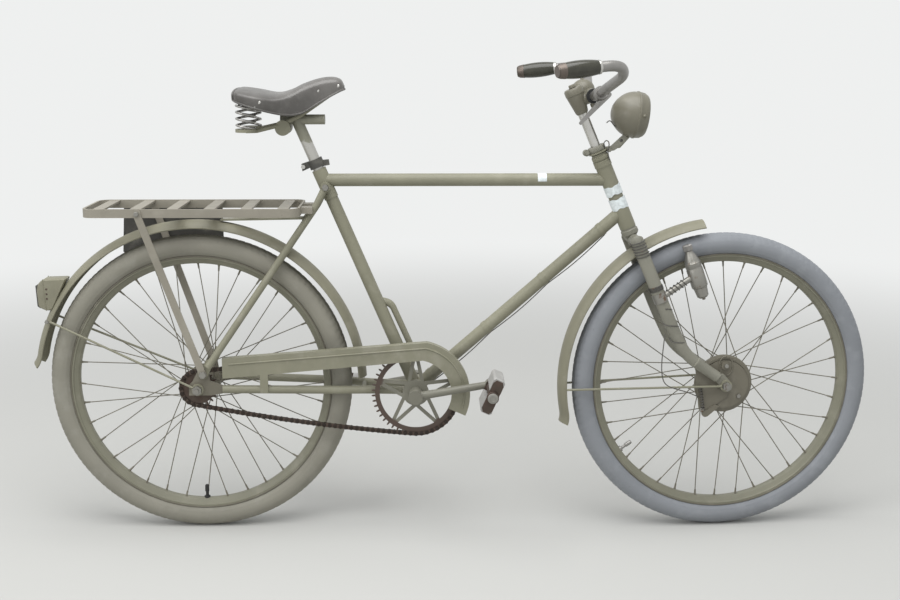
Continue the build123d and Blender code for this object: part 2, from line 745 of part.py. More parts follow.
def headlamp():
    """Bowl of the headlamp with its rim, facing forward and a little down."""
    rim_r = LAMP_R + 1.5
    edges = [
        Line((0, -54), (0, 4)),
        Line((0, 4), (LAMP_R - 4, 4)),
        Line((LAMP_R - 4, 4), (LAMP_R - 4, 10)),
        Line((LAMP_R - 4, 10), (rim_r, 6)),
        Line((rim_r, 6), (rim_r, -4)),
        Line((rim_r, -4), (LAMP_R, -4)),
        ThreePointArc((LAMP_R, -4), (LAMP_R * 0.76, -36), (7, -54)),
        Line((7, -54), (0, -54)),
    ]
    return lamp_turned(edges)


def headlamp_glass():
    """Domed glass set into the headlamp's rim."""
    edges = [
        Line((0, 4), (0, 27)),
        ThreePointArc((0, 27), (LAMP_R * 0.6, 20), (LAMP_R - 4, 8)),
        Line((LAMP_R - 4, 8), (LAMP_R - 4, 4)),
        Line((LAMP_R - 4, 4), (0, 4)),
    ]
    return lamp_turned(edges)


def lamp_bracket():
    """Bent strap from the headset to the underside of the headlamp."""
    top = HEAD_LOW + HEAD_LEN + 32
    collar = rod(on_steer(top), on_steer(top + 4), 21) - rod(on_steer(top - 5), on_steer(top + 9), STEERER_R)
    p = on_steer(top + 2, 20)
    q = Vector(948, 0, 886)
    r = Vector(968, 0, 908)
    a = rod(p, q, 4)
    b = rod(q, r, 4)
    solid = joined([collar, a, Pos(q) * Sphere(4), b])
    return solid - headlamp()


# Seat


def seat_post():
    """Post in the seat tube with a cross tube on top."""
    top = on_seat(POST_TOP_Z)
    post = rod(on_seat(BB_Z + 330), top, POST_R)
    cross = rod((POST_REAR_X, 0, POST_TOP_Z), (POST_FRONT_X, 0, POST_TOP_Z), POST_CROSS_R)
    return joined([post, cross])


POST_TOP_Z = 946.0
POST_REAR_X = 196.0
POST_FRONT_X = 294.0
POST_CROSS_R = 11.0

# Saddle sections: x, half width, crown height, shoulder drop and skirt bottom
SADDLE = (
    (99.0, 88.0, 1016.0, 10.0, 992.0),
    (150.0, 98.0, 1009.0, 16.0, 978.0),
    (210.0, 66.0, 1003.0, 16.0, 962.0),
    (262.0, 38.0, 1020.0, 14.0, 972.0),
    (310.0, 27.0, 1038.0, 13.0, 998.0),
    (338.0, 18.0, 1030.0, 9.0, 1014.0),
)
LEATHER_T = 4.5


def saddle_section(x, half, crown, drop, low):
    edges = [
        Line((x, -half, low), (x, -half, crown - drop)),
        ThreePointArc((x, -half, crown - drop), (x, 0, crown), (x, half, crown - drop)),
        Line((x, half, crown - drop), (x, half, low)),
        Line((x, half, low), (x, -half, low)),
    ]
    return make_face(edges)


def saddle():
    """Leather top with hanging skirts, open below and behind."""
    outer = loft([saddle_section(*row) for row in SADDLE])
    inner_rows = []
    for i, (x, half, crown, drop, low) in enumerate(SADDLE):
        shift = -3 if i == 0 else (-LEATHER_T if i == len(SADDLE) - 1 else 0)
        inner_rows.append((x + shift, half - LEATHER_T, crown - LEATHER_T, drop, low - 3))
    inner = loft([saddle_section(*row) for row in inner_rows])
    return outer - inner


def coil(foot, r, wire_r, pitch, half_turns):
    """Upright coil of half turns, each a tilted arc that runs on from the last."""
    arcs = []
    for i in range(half_turns):
        side = 1 if i % 2 == 0 else -1
        z0 = foot.Z + i * pitch / 2
        start = (foot.X + side * r, foot.Y, z0)
        mid = (foot.X, foot.Y + side * r, z0 + pitch / 4)
        end = (foot.X - side * r, foot.Y, z0 + pitch / 2)
        arcs.append(ThreePointArc(start, mid, end))
    path = Wire(arcs)
    return sweep(Plane(origin=path @ 0, z_dir=path % 0) * Circle(wire_r), path=path)


SPRING_X = 126.0
SPRING_Y = 46.0
SPRING_LOW = 930.0
SPRING_R = 20.0
SPRING_PITCH = 14.0
SPRING_HALVES = 7
SPRING_WIRE = 2.6


def saddle_springs():
    foot = Vector(SPRING_X, SPRING_Y, SPRING_LOW)
    return both_sides(coil(foot, SPRING_R, SPRING_WIRE, SPRING_PITCH, SPRING_HALVES))


def saddle_frame():
    """Rails from the rear springs past the clamp to the nose, with spring plates."""
    pieces = []
    springs = saddle_springs()
    clamp = disc(Vector(203, 0, 929), 17, -27, 27)
    pieces.append(clamp)
    spring_top = SPRING_LOW + SPRING_PITCH * SPRING_HALVES / 2
    for side in (-1, 1):
        path = [
            (SPRING_X, side * SPRING_Y, SPRING_LOW - 6),
            (SPRING_X + 22, side * (SPRING_Y - 8), SPRING_LOW - 6),
            (200, side * 20, 936),
            (242, side * 20, 956),
            (331, side * 8, 1017),
        ]
        pieces.append(bent_rod(path, 12, 5))
        plate = Pos(SPRING_X, side * SPRING_Y, SPRING_LOW - 5) * Cylinder(SPRING_R + 3, 7)
        pieces.append(plate)
    solid = joined(pieces)
    for cutter in [seat_post(), saddle()] + springs:
        solid = largest(solid - cutter)
    return solid


def saddle_cantle():
    """Bar under the rear of the leather that the springs push up."""
    top = SPRING_LOW + SPRING_PITCH * SPRING_HALVES / 2
    bar = Pos(SPRING_X, 0, top + 4) * Box(26, 2 * SPRING_Y + 40, 6)
    posts = [Pos(SPRING_X, y, top + 14) * Cylinder(8, 40) for y in (-SPRING_Y, SPRING_Y)]
    solid = joined([bar] + posts)
    for cutter in [saddle()] + saddle_springs():
        solid = largest(solid - cutter)
    return solid


def seat_post_bracket():
    """Clamp on the seat post with a short arm behind it."""
    low, high = on_seat(SEAT_TOP_Z + 4), on_seat(SEAT_TOP_Z + 22)
    ring = rod(low, high, POST_R + 4.5)
    arm = slab([(low.X - 34, low.Z - 8), (low.X - 12, low.Z + 2), (low.X - 12, low.Z + 16), (low.X - 36, low.Z + 8)], -8, 8)
    lug = slab([(low.X + 6, low.Z + 2), (low.X + 26, low.Z + 6), (low.X + 24, low.Z + 18), (low.X + 4, low.Z + 16)], -5, 5)
    solid = joined([ring, arm, lug])
    return largest(solid - rod(on_seat(BB_Z), on_seat(POST_TOP_Z), POST_R))


def rack_brackets():
    """Clamps that hold the rack's front bar to the seat stays."""
    stay = seat_stays()[0]
    block = Pos(RACK_FRONT + 13, 31, RACK_Z - 9) * Box(26, 26, 14)
    block = largest(block - stay)
    return both_sides(block)


def rack_side_plate():
    """Sheet panel hung outside the left strut."""
    y0 = RACK_HALF_W + RACK_STRUT_T
    outline = [(-180, RACK_Z - 2), (46, RACK_Z - 2), (46, 640), (34, 628), (-176, 624), (-188, 636)]
    return slab(outline, y0, y0 + 2)


def tail_lamp():
    """Housing of the tail lamp on the back of the rear mudguard."""
    outline = [(-290, 590), (-352, 590), (-368, 578), (-368, 556), (-358, 520), (-346, 514), (-310, 514)]
    body = slab(outline, -22, 22)
    return largest(body - Pos(REAR_AXLE) * guard_fill())


def guard_fill():
    """Solid drum with the outside of a mudguard, to trim what sits on it."""
    edge = GUARD_R - GUARD_RISE
    arc = ThreePointArc((edge, -GUARD_HALF_W), (GUARD_R, 0), (edge, GUARD_HALF_W))
    sides = Polyline((edge, GUARD_HALF_W), (0, GUARD_HALF_W), (0, -GUARD_HALF_W), (edge, -GUARD_HALF_W))
    return revolve(make_face([arc] + sides.edges()), axis=Axis.Y)


def tail_lens():
    """Round lens on the rear of the tail lamp."""
    return rod((-368, 0, 567), (-375, 0, 567), 10, 8)


def mudguard_stays(axle, reach, up, y_ring):
    """Wire stays from a ring on the axle to both edges of a mudguard."""
    out = Vector(reach, 0, up)
    along = out.normalized()
    start = axle + along * (STAY_RING_R - 2) + Vector(0, y_ring + STAY_WIRE_R + 1.2, 0)
    end = axle + out + Vector(0, GUARD_HALF_W + STAY_WIRE_R + TOUCH_GAP, 0)
    wire = rod(start, end, STAY_WIRE_R)
    ring = disc(axle, STAY_RING_R, y_ring, y_ring + RING_T) - disc(axle, AXLE_R, 0, 120)
    return both_sides(joined([wire, ring]))


def rear_mudguard_stays():
    return mudguard_stays(REAR_AXLE, -331, 151, DROP_IN + DROP_T)


def front_mudguard_stays():
    return mudguard_stays(FRONT_AXLE, -363, -8, FORK_IN + FORK_END_T)


def brake_plate():
    """Drum brake plate with its cam boss and arm, fixed beside the fork."""
    face = disc(FRONT_AXLE, 56, -42, -38.5)
    boss = disc(FRONT_AXLE, 16, -49.5, -38.5)
    cam = disc(FRONT_AXLE + Vector(0, 0, 44), 9, -47, -40)
    x, z = FRONT_AXLE.X, FRONT_AXLE.Z
    arm = slab([(x - 22, z - 46), (x - 10, z - 50), (x - 38, z - 74), (x - 50, z - 66)], -47, -41)
    foot = disc(Vector(x - 43, 0, z - 67), 8, -47, -41)
    solid = joined([face, boss, cam, arm, foot])
    return largest(solid - disc(FRONT_AXLE, AXLE_R, -90, 90) - fork())


def dynamo():
    """Bottle dynamo on the right blade, its roller beside the tyre."""
    top = Vector(1097, -41, 668)
    low = Vector(1137, -47, 552)
    line = (low - top).normalized()
    roller = rod(top, top + line * 14, 10.5)
    neck = rod(top + line * 14, top + line * 34, 8, 10)
    body = rod(top + line * 34, top + line * 104, 16.5)
    base = rod(top + line * 104, low + line * 6, 16.5, 11)
    return joined([roller, neck, body, base])


def dynamo_bracket():
    """Strap from the right blade to the dynamo."""
    blade = on_steer(250, 0, -50)
    strap = rod(blade + Vector(4, 2, 0), Vector(1118, -46, 600), 7)
    band = rod(on_steer(240, 0, -50.2), on_steer(262, 0, -49.4), BLADE_R + 3.5)
    solid = joined([strap, band])
    return largest(largest(solid - fork()) - dynamo())


def bell():
    """Dome bell clamped on the handlebar left of the stem."""
    spot = BAR_CENTRE + Vector(-6, 36, 12)
    base = Pos(spot) * Cylinder(9, 16)
    dome = Pos(spot + Vector(-8, 0, 8)) * (Sphere(27) & Pos(0, 0, 20) * Box(80, 80, 40))
    return largest(joined([base, dome]) - handlebar() - stem())


def brake_lever():
    """Hand lever on a clamp at the right of the bar."""
    c = BAR_CENTRE
    on_bar = c + Vector(8, -70, 10)
    clamp = rod(c + Vector(5.2, -58, 5), c + Vector(10.2, -78, 13), BAR_R + 4)
    lever = slab([(c.X + 22, c.Z + 16), (c.X + 34, c.Z + 6), (c.X - 32, c.Z - 60), (c.X - 40, c.Z - 52)], -71, -66)
    return largest(joined([clamp, lever]) - handlebar())


def build():
    """All pieces by node name, in the working frame, steering straight ahead."""
    at_front = Pos(FRONT_AXLE)
    at_rear = Pos(REAR_AXLE)
    fixed = {
        "head_tube": head_tube(),
        "top_tube": top_tube(),
        "down_tube": down_tube(),
        "seat_tube": seat_tube(),
        "bottom_bracket": bottom_bracket(),
        "chain_stays": chain_stays(),
        "seat_stays": seat_stays(),
        "dropouts": dropouts(),
        "rear_axle": rear_axle(),
        "stay_bolts": stay_bolts(),
        "rack": rack_rails(),
        "rack_struts": rack_struts(),
        "rear_mudguard": rear_mudguard(),
        "seat_post": seat_post(),
        "saddle": saddle(),
        "saddle_springs": saddle_springs(),
        "saddle_frame": saddle_frame(),
        "saddle_cantle": saddle_cantle(),
        "seat_post_bracket": seat_post_bracket(),
        "rack_brackets": rack_brackets(),
        "rack_side_plate": rack_side_plate(),
        "tail_lamp": tail_lamp(),
        "tail_lens": tail_lens(),
        "rear_mudguard_stays": rear_mudguard_stays(),
        "chain": chain(),
        "chain_guard": chain_guard(),
        "crankset": crankset(),
        "right_pedal": pedal_at(-1, [pedal(-1)]),
        "left_pedal": pedal_at(1, [pedal(1)]),
        "right_pedal_blocks": pedal_at(-1, pedal_blocks(-1)),
        "left_pedal_blocks": pedal_at(1, pedal_blocks(1)),
        "rear_tyre": at_rear * tyre(),
        "rear_rim": at_rear * rim(),
        "rear_hub": at_rear * rear_hub(),
        "rear_sprocket": at_rear * rear_sprocket(),
    }
    steered = {
        "fork": fork(),
        "front_axle": front_axle(),
        "front_mudguard": front_mudguard(),
        "headset": headset(),
        "stem": stem(),
        "handlebar": handlebar(),
        "grips": grips(),
        "headlamp": headlamp(),
        "headlamp_glass": headlamp_glass(),
        "lamp_bracket": lamp_bracket(),
        "front_mudguard_stays": front_mudguard_stays(),
        "brake_plate": brake_plate(),
        "dynamo": dynamo(),
        "dynamo_bracket": dynamo_bracket(),
        "bell": bell(),
        "brake_lever": brake_lever(),
        "front_tyre": at_front * tyre(),
        "front_rim": at_front * rim(),
        "front_hub": at_front * front_hub(),
    }
    return fixed, steered


def main():
    fixed, steered = build()
    axis = Axis(STEER_FOOT, STEER_UP)
    home = Pos(-RIDER_X, 0, -RIDER_Z)
    for name, shape in list(fixed.items()) + list(steered.items()):
        pieces = shape if isinstance(shape, list) else [shape]
        if name in steered:
            pieces = [piece.rotate(axis, STEER_REST) for piece in pieces]
        placed = [home * piece for piece in pieces]
        whole = placed[0] if len(placed) == 1 else Compound(children=placed)
        export_step(whole, f"parts/{name}.step")


if __name__ == "__main__":
    main()
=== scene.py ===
"""Looks of the military bicycle: finishes for the solids that show, and the fine pieces around them."""

from __future__ import annotations

import json
import logging
import math
from dataclasses import dataclass, field
from enum import Enum

import bmesh
import bpy
import numpy as np
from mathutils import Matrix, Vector

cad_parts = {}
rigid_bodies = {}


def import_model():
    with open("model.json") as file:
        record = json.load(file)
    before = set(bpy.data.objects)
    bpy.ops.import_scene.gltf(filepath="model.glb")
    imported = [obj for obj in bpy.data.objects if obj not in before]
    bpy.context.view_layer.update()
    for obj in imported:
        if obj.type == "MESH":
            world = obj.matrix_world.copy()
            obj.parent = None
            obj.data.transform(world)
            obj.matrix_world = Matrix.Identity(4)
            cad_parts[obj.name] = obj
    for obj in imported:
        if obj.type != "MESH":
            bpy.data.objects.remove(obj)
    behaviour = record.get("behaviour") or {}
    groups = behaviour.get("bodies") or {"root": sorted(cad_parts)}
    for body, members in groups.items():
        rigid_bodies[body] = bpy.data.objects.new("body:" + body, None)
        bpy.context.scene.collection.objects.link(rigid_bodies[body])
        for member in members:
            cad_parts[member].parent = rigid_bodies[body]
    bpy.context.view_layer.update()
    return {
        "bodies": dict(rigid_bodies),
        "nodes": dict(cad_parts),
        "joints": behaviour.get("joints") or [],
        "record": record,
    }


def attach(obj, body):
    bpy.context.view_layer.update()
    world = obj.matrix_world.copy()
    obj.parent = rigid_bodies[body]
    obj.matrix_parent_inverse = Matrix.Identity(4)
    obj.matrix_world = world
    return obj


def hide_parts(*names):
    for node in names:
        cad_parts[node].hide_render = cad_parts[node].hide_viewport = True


logging.basicConfig(level=logging.INFO, format="%(message)s")
LOG = logging.getLogger("bicycle")
Array = np.ndarray
Colour = tuple[float, float, float]
Point = tuple[float, float, float]
Profile = tuple[tuple[float, float], ...]
Socket = bpy.types.NodeSocket

# Bodies whose pieces are planned straight ahead and turn with the handlebar to rest.
STEERED = ("steering", "front_wheel")
LEFTWARD: Point = (0.0, 1.0, 0.0)
RIGHTWARD: Point = (0.0, -1.0, 0.0)
BOTH_WAYS = np.array([LEFTWARD, RIGHTWARD])
MIRRORED = np.array([(1.0, 1.0, 1.0), (1.0, -1.0, 1.0)])

# Largest share of a side that a rounded corner takes.
MOST_ROUNDED = 0.45

# Metres within which points are welded, and below which edges are dropped.
WELD = 1e-6
SLIVER = 1e-7


class Coat(Enum):
    """How a painted surface has aged."""

    CLEAN = 0.15
    WORN = 0.45
    BATTERED = 0.8


class Side(Enum):
    """Sides of the bicycle along Y."""

    RIGHT = -1
    LEFT = 1


@dataclass(frozen=True)
class Plan:
    """Driving sizes in mm from the ground under the rear axle: X forward, Y left, Z up."""

    origin: Point = (200.0, 0.0, 1003.0)
    wheel_r: float = 345.0
    tyre_r: float = 26.0
    rim_edge: float = 298.5
    rim_depth: float = 19.0
    wheelbase: float = 1195.0
    head_angle: float = 67.0
    seat_angle: float = 67.0
    fork_offset: float = 65.0
    steer_rest: float = 4.2
    bracket: tuple[float, float] = (492.0, 332.0)
    tube_r: float = 14.2
    head_top: float = 568.0
    bar_r: float = 11.1
    bar_up: float = 722.0
    bar_fore: float = 33.0
    guard_r: float = 379.0
    guard_half: float = 30.0
    guard_rise: float = 16.0

    @property
    def steer_up(self) -> Array:
        """Unit vector up the steering axis."""
        lean = math.radians(self.head_angle)
        return np.array([-math.cos(lean), 0.0, math.sin(lean)])

    @property
    def steer_fore(self) -> Array:
        """Unit vector forward, square to the steering axis."""
        lean = math.radians(self.head_angle)
        return np.array([math.sin(lean), 0.0, math.cos(lean)])

    @property
    def front_axle(self) -> Array:
        """Middle of the front axle, steered straight ahead."""
        return np.array([self.wheelbase, 0.0, self.wheel_r])

    @property
    def rear_axle(self) -> Array:
        """Middle of the rear axle."""
        return np.array([0.0, 0.0, self.wheel_r])

    @property
    def bar_centre(self) -> Array:
        """Middle of the handlebar in its clamp."""
        return self.on_steer(self.bar_up, self.bar_fore)

    def on_steer(self, up: float, fore: float = 0.0, y: float = 0.0) -> Array:
        """Point by its height along the steering axis, offset forward and to the left."""
        foot = self.front_axle - self.steer_fore * self.fork_offset
        return foot + self.steer_up * up + self.steer_fore * fore + np.array([0.0, y, 0.0])

    def on_seat(self, z: float, y: float = 0.0) -> Array:
        """Point of the seat tube's axis at a height."""
        x, low = self.bracket
        return np.array([x - (z - low) / math.tan(math.radians(self.seat_angle)), y, z])

    def home(self, points: Array, steered: bool = False) -> Array:
        """Move points from the plan to the part's own frame.

        Args:
            points: Points in mm, steered straight ahead.
            steered: Whether they turn with the handlebar to its place at rest.

        Returns:
            The points in metres from the saddle.
        """
        if steered:
            foot = self.front_axle - self.steer_fore * self.fork_offset
            turn = math.radians(self.steer_rest)
            away = points - foot
            axis = self.steer_up
            along = (away @ axis)[..., None] * axis
            points = foot + along + (away - along) * math.cos(turn) + np.cross(axis, away) * math.sin(turn)
        return (points - np.array(self.origin)) / 1000.0


PLAN = Plan()


def unit(vectors: Array) -> Array:
    """Vectors scaled to length one along their last axis."""
    return vectors / np.linalg.norm(vectors, axis=-1, keepdims=True)


def circle(radius: float, sides: int, squash: float = 1.0) -> Array:
    """Closed ring of (radius cos t, squash radius sin t) points."""
    turn = np.linspace(0.0, 2.0 * np.pi, sides, endpoint=False)
    return np.stack([radius * np.cos(turn), squash * radius * np.sin(turn)], axis=-1)


def turned(profile: Array | Profile, spots: Array | Point, axes: Array | Point, sides: int = 24,
           knurl: float = 0.0) -> Array:
    """Profile turned about an axis: spot + along * axis + radius (cos t * side + sin t * over).

    Args:
        profile: Rows of (radius, along).
        spots: Foot of each copy's axis, one point or many.
        axes: Direction of each axis.
        sides: Steps round the axis.
        knurl: Share of the radius by which every second step falls back.

    Returns:
        Points of shape (copies, rows, sides, 3).
    """
    profile = np.asarray(profile, float)
    spots = np.atleast_2d(np.asarray(spots, float))
    axes = unit(np.broadcast_to(np.asarray(axes, float), spots.shape))
    helper = np.where(np.abs(axes[:, 1:2]) < 0.9, [[0.0, 1.0, 0.0]], [[0.0, 0.0, 1.0]])
    side = unit(np.cross(helper, axes))[:, None, None]
    over = np.cross(axes, side[:, 0, 0])[:, None, None]
    turn = np.linspace(0.0, 2.0 * np.pi, sides, endpoint=False)[None, None, :, None]
    radius = profile[None, :, 0, None, None] * (1.0 - knurl * (np.arange(sides) % 2)[None, None, :, None])
    along = profile[None, :, 1, None, None]
    around = np.cos(turn) * side + np.sin(turn) * over
    return spots[:, None, None] + along * axes[:, None, None] + radius * around


def rod(radius: float, low: float, high: float) -> Profile:
    """Profile of a plain cylinder between two places along its axis."""
    return ((0.0, low), (radius, low), (radius, high), (0.0, high))


def carried(path: Array, profile: Array, side: Point | None = None) -> Array:
    """Profile carried along a path: path + p0 * side + p1 * over, with over = side x tangent.

    Args:
        path: Points of the path.
        profile: Closed ring of (side, over) points, one for all rows or one each.
        side: Fixed direction of the profile's first axis, or none to take one square to the path.

    Returns:
        Points of shape (rows, ring, 3).
    """
    path = np.asarray(path, float)
    tangent = unit(np.gradient(path, axis=0))
    if side is None:
        mean = unit(path[-1] - path[0] + 1e-6)
        helper = np.eye(3)[int(np.argmin(np.abs(mean)))]
        across = unit(np.cross(helper, tangent))
    else:
        across = np.broadcast_to(np.asarray(side, float), path.shape)
    over = unit(np.cross(across, tangent))
    profile = np.broadcast_to(profile, (len(path), *np.shape(profile)[-2:]))
    return path[:, None] + profile[..., :1] * across[:, None] + profile[..., 1:] * over[:, None]


def looped(path: Array, profile: Array) -> Array:
    """Profile carried round a closed path, which is wrapped by a point at each end for its slopes."""
    wrapped = np.vstack([path[-1:], path, path[:1]])
    return carried(wrapped, profile, LEFTWARD)[1:-1]


def arc_path(centre: Array, radius: float, first: float, last: float, steps: int, y: float = 0.0) -> Array:
    """Arc in a plane of constant Y about an axle: centre + radius (cos t, 0, sin t).

    Args:
        centre: Point on the axle.
        radius: Distance from the axle.
        first: Angle of the first point, in degrees above forward.
        last: Angle of the last point.
        steps: Number of points.
        y: The plane's Y.

    Returns:
        Points of shape (steps, 3).
    """
    turn = np.radians(np.linspace(first, last, steps))
    x = centre[0] + radius * np.cos(turn)
    z = centre[2] + radius * np.sin(turn)
    return np.stack([x, np.full(steps, y), z], axis=-1)


def rounded(corners: Array, reach: float, steps: int = 6, closed: bool = False) -> Array:
    """Polyline whose corners become parabolas that start and end at a reach from each corner.

    Args:
        corners: Points of two or three coordinates.
        reach: Distance from a corner at which its curve starts, up to a share of the side.
        steps: Points on each curve.
        closed: Whether the last corner joins the first; if not, both ends stay sharp.

    Returns:
        Points along the line.
    """
    corners = np.asarray(corners, float)
    before, after = np.roll(corners, 1, axis=0), np.roll(corners, -1, axis=0)
    gap_in = np.linalg.norm(before - corners, axis=1, keepdims=True)
    gap_out = np.linalg.norm(after - corners, axis=1, keepdims=True)
    start = corners + (before - corners) * np.minimum(reach / gap_in, MOST_ROUNDED)
    end = corners + (after - corners) * np.minimum(reach / gap_out, MOST_ROUNDED)
    t = np.linspace(0.0, 1.0, steps)[None, :, None]
    curve = (1 - t) ** 2 * start[:, None] + 2 * t * (1 - t) * corners[:, None] + t**2 * end[:, None]
    if closed:
        return curve.reshape(-1, corners.shape[1])
    return np.vstack([corners[:1], curve[1:-1].reshape(-1, corners.shape[1]), corners[-1:]])


def flowing(points: Array, steps: int = 8) -> Array:
    """Smooth path through points: cubic spans whose end slopes are half the step between neighbours.

    Args:
        points: Rows of any number of measures.
        steps: Points on each span.

    Returns:
        Rows along the path, with the last point.
    """
    points = np.asarray(points, float)
    ends = np.vstack([2 * points[0] - points[1], points, 2 * points[-1] - points[-2]])
    slope = (ends[2:] - ends[:-2]) / 2
    t = np.linspace(0.0, 1.0, steps, endpoint=False)[None, :, None]
    first, last = points[:-1, None], points[1:, None]
    span = (2 * t**3 - 3 * t**2 + 1) * first + (t**3 - 2 * t**2 + t) * slope[:-1, None]
    span = span + (3 * t**2 - 2 * t**3) * last + (t**3 - t**2) * slope[1:, None]
    return np.vstack([span.reshape(-1, points.shape[1]), points[-1:]])


def plate(outline: Array, low: float, high: float, bevel: float = 0.6) -> Array:
    """Flat sheet from an outline, its edges drawn in by a bevel.

    Args:
        outline: Closed ring of (x, z) points.
        low: The sheet's lower Y.
        high: Its upper Y.
        bevel: Depth of the drawn-in edge, towards the outline's middle and along Y.

    Returns:
        Points of shape (4, ring, 3).
    """
    outline = np.asarray(outline, float)
    middle = outline.mean(axis=0)
    inner = outline - unit(outline - middle) * bevel
    rings = ((inner, low), (outline, low + bevel), (outline, high - bevel), (inner, high))
    return np.stack([np.stack([ring[:, 0], np.full(len(ring), y), ring[:, 1]], axis=-1) for ring, y in rings])


HEX_HEAD = ((0.0, 0.0), (1.0, 0.0), (1.0, 0.75), (0.86, 1.0), (0.0, 1.0))
ROUND_HEAD = ((0.0, 0.0), (1.0, 0.0), (0.92, 0.45), (0.62, 0.85), (0.0, 1.0))


def heads(shape: Profile, radius: float, height: float, spots: Array | Point, axes: Array | Point,
          sides: int = 6) -> Array:
    """Bolt or rivet heads: a unit profile scaled to a radius and height, turned at each spot."""
    return turned(np.array(shape) * (radius, height), spots, axes, sides)


class Shell:
    """Grids of points in mm gathered into one mesh."""

    def __init__(self) -> None:
        """Start with no points."""
        self._points: list[Array] = []
        self._faces: list[list[int]] = []
        self._count = 0

    def add(self, grid: Array, loop: bool = False) -> Shell:
        """Join grids of points into quads, each row of points being a closed ring.

        Args:
            grid: Points of shape (..., rows, columns, 3); each leading index is a copy.
            loop: Whether the last row joins the first; if not, both get caps.

        Returns:
            The shell, for more grids.
        """
        rows, columns = grid.shape[-3:-1]
        points = grid.reshape(-1, rows, columns, 3)
        index = np.arange(len(points) * rows * columns).reshape(-1, rows, columns) + self._count
        wide = np.concatenate([index, index[:, :, :1]], axis=2)
        tall = np.concatenate([wide, wide[:, :1]], axis=1) if loop else wide
        quads = np.stack([tall[:, :-1, :-1], tall[:, :-1, 1:], tall[:, 1:, 1:], tall[:, 1:, :-1]], axis=-1)
        self._faces += quads.reshape(-1, 4).tolist()
        if not loop:
            self._faces += index[:, 0, ::-1].tolist() + index[:, -1].tolist()
        self._points.append(points.reshape(-1, 3))
        self._count += points.size // 3
        return self

    def mesh(self, name: str, steered: bool, crease: float) -> bpy.types.Mesh:
        """One welded mesh with outward faces, smooth up to a crease angle.

        Args:
            name: The mesh's name.
            steered: Whether its points turn with the handlebar to rest.
            crease: Angle in degrees past which an edge is sharp.

        Returns:
            The new mesh, in metres.
        """
        mesh = bpy.data.meshes.new(name)
        mesh.from_pydata(PLAN.home(np.concatenate(self._points), steered).tolist(), [], self._faces)
        work = bmesh.new()
        work.from_mesh(mesh)
        bmesh.ops.remove_doubles(work, verts=work.verts, dist=WELD)
        bmesh.ops.dissolve_degenerate(work, edges=work.edges, dist=SLIVER)
        bmesh.ops.recalc_face_normals(work, faces=work.faces)
        work.to_mesh(mesh)
        work.free()
        mesh.shade_smooth()
        mesh.set_sharp_from_angle(angle=math.radians(crease))
        return mesh


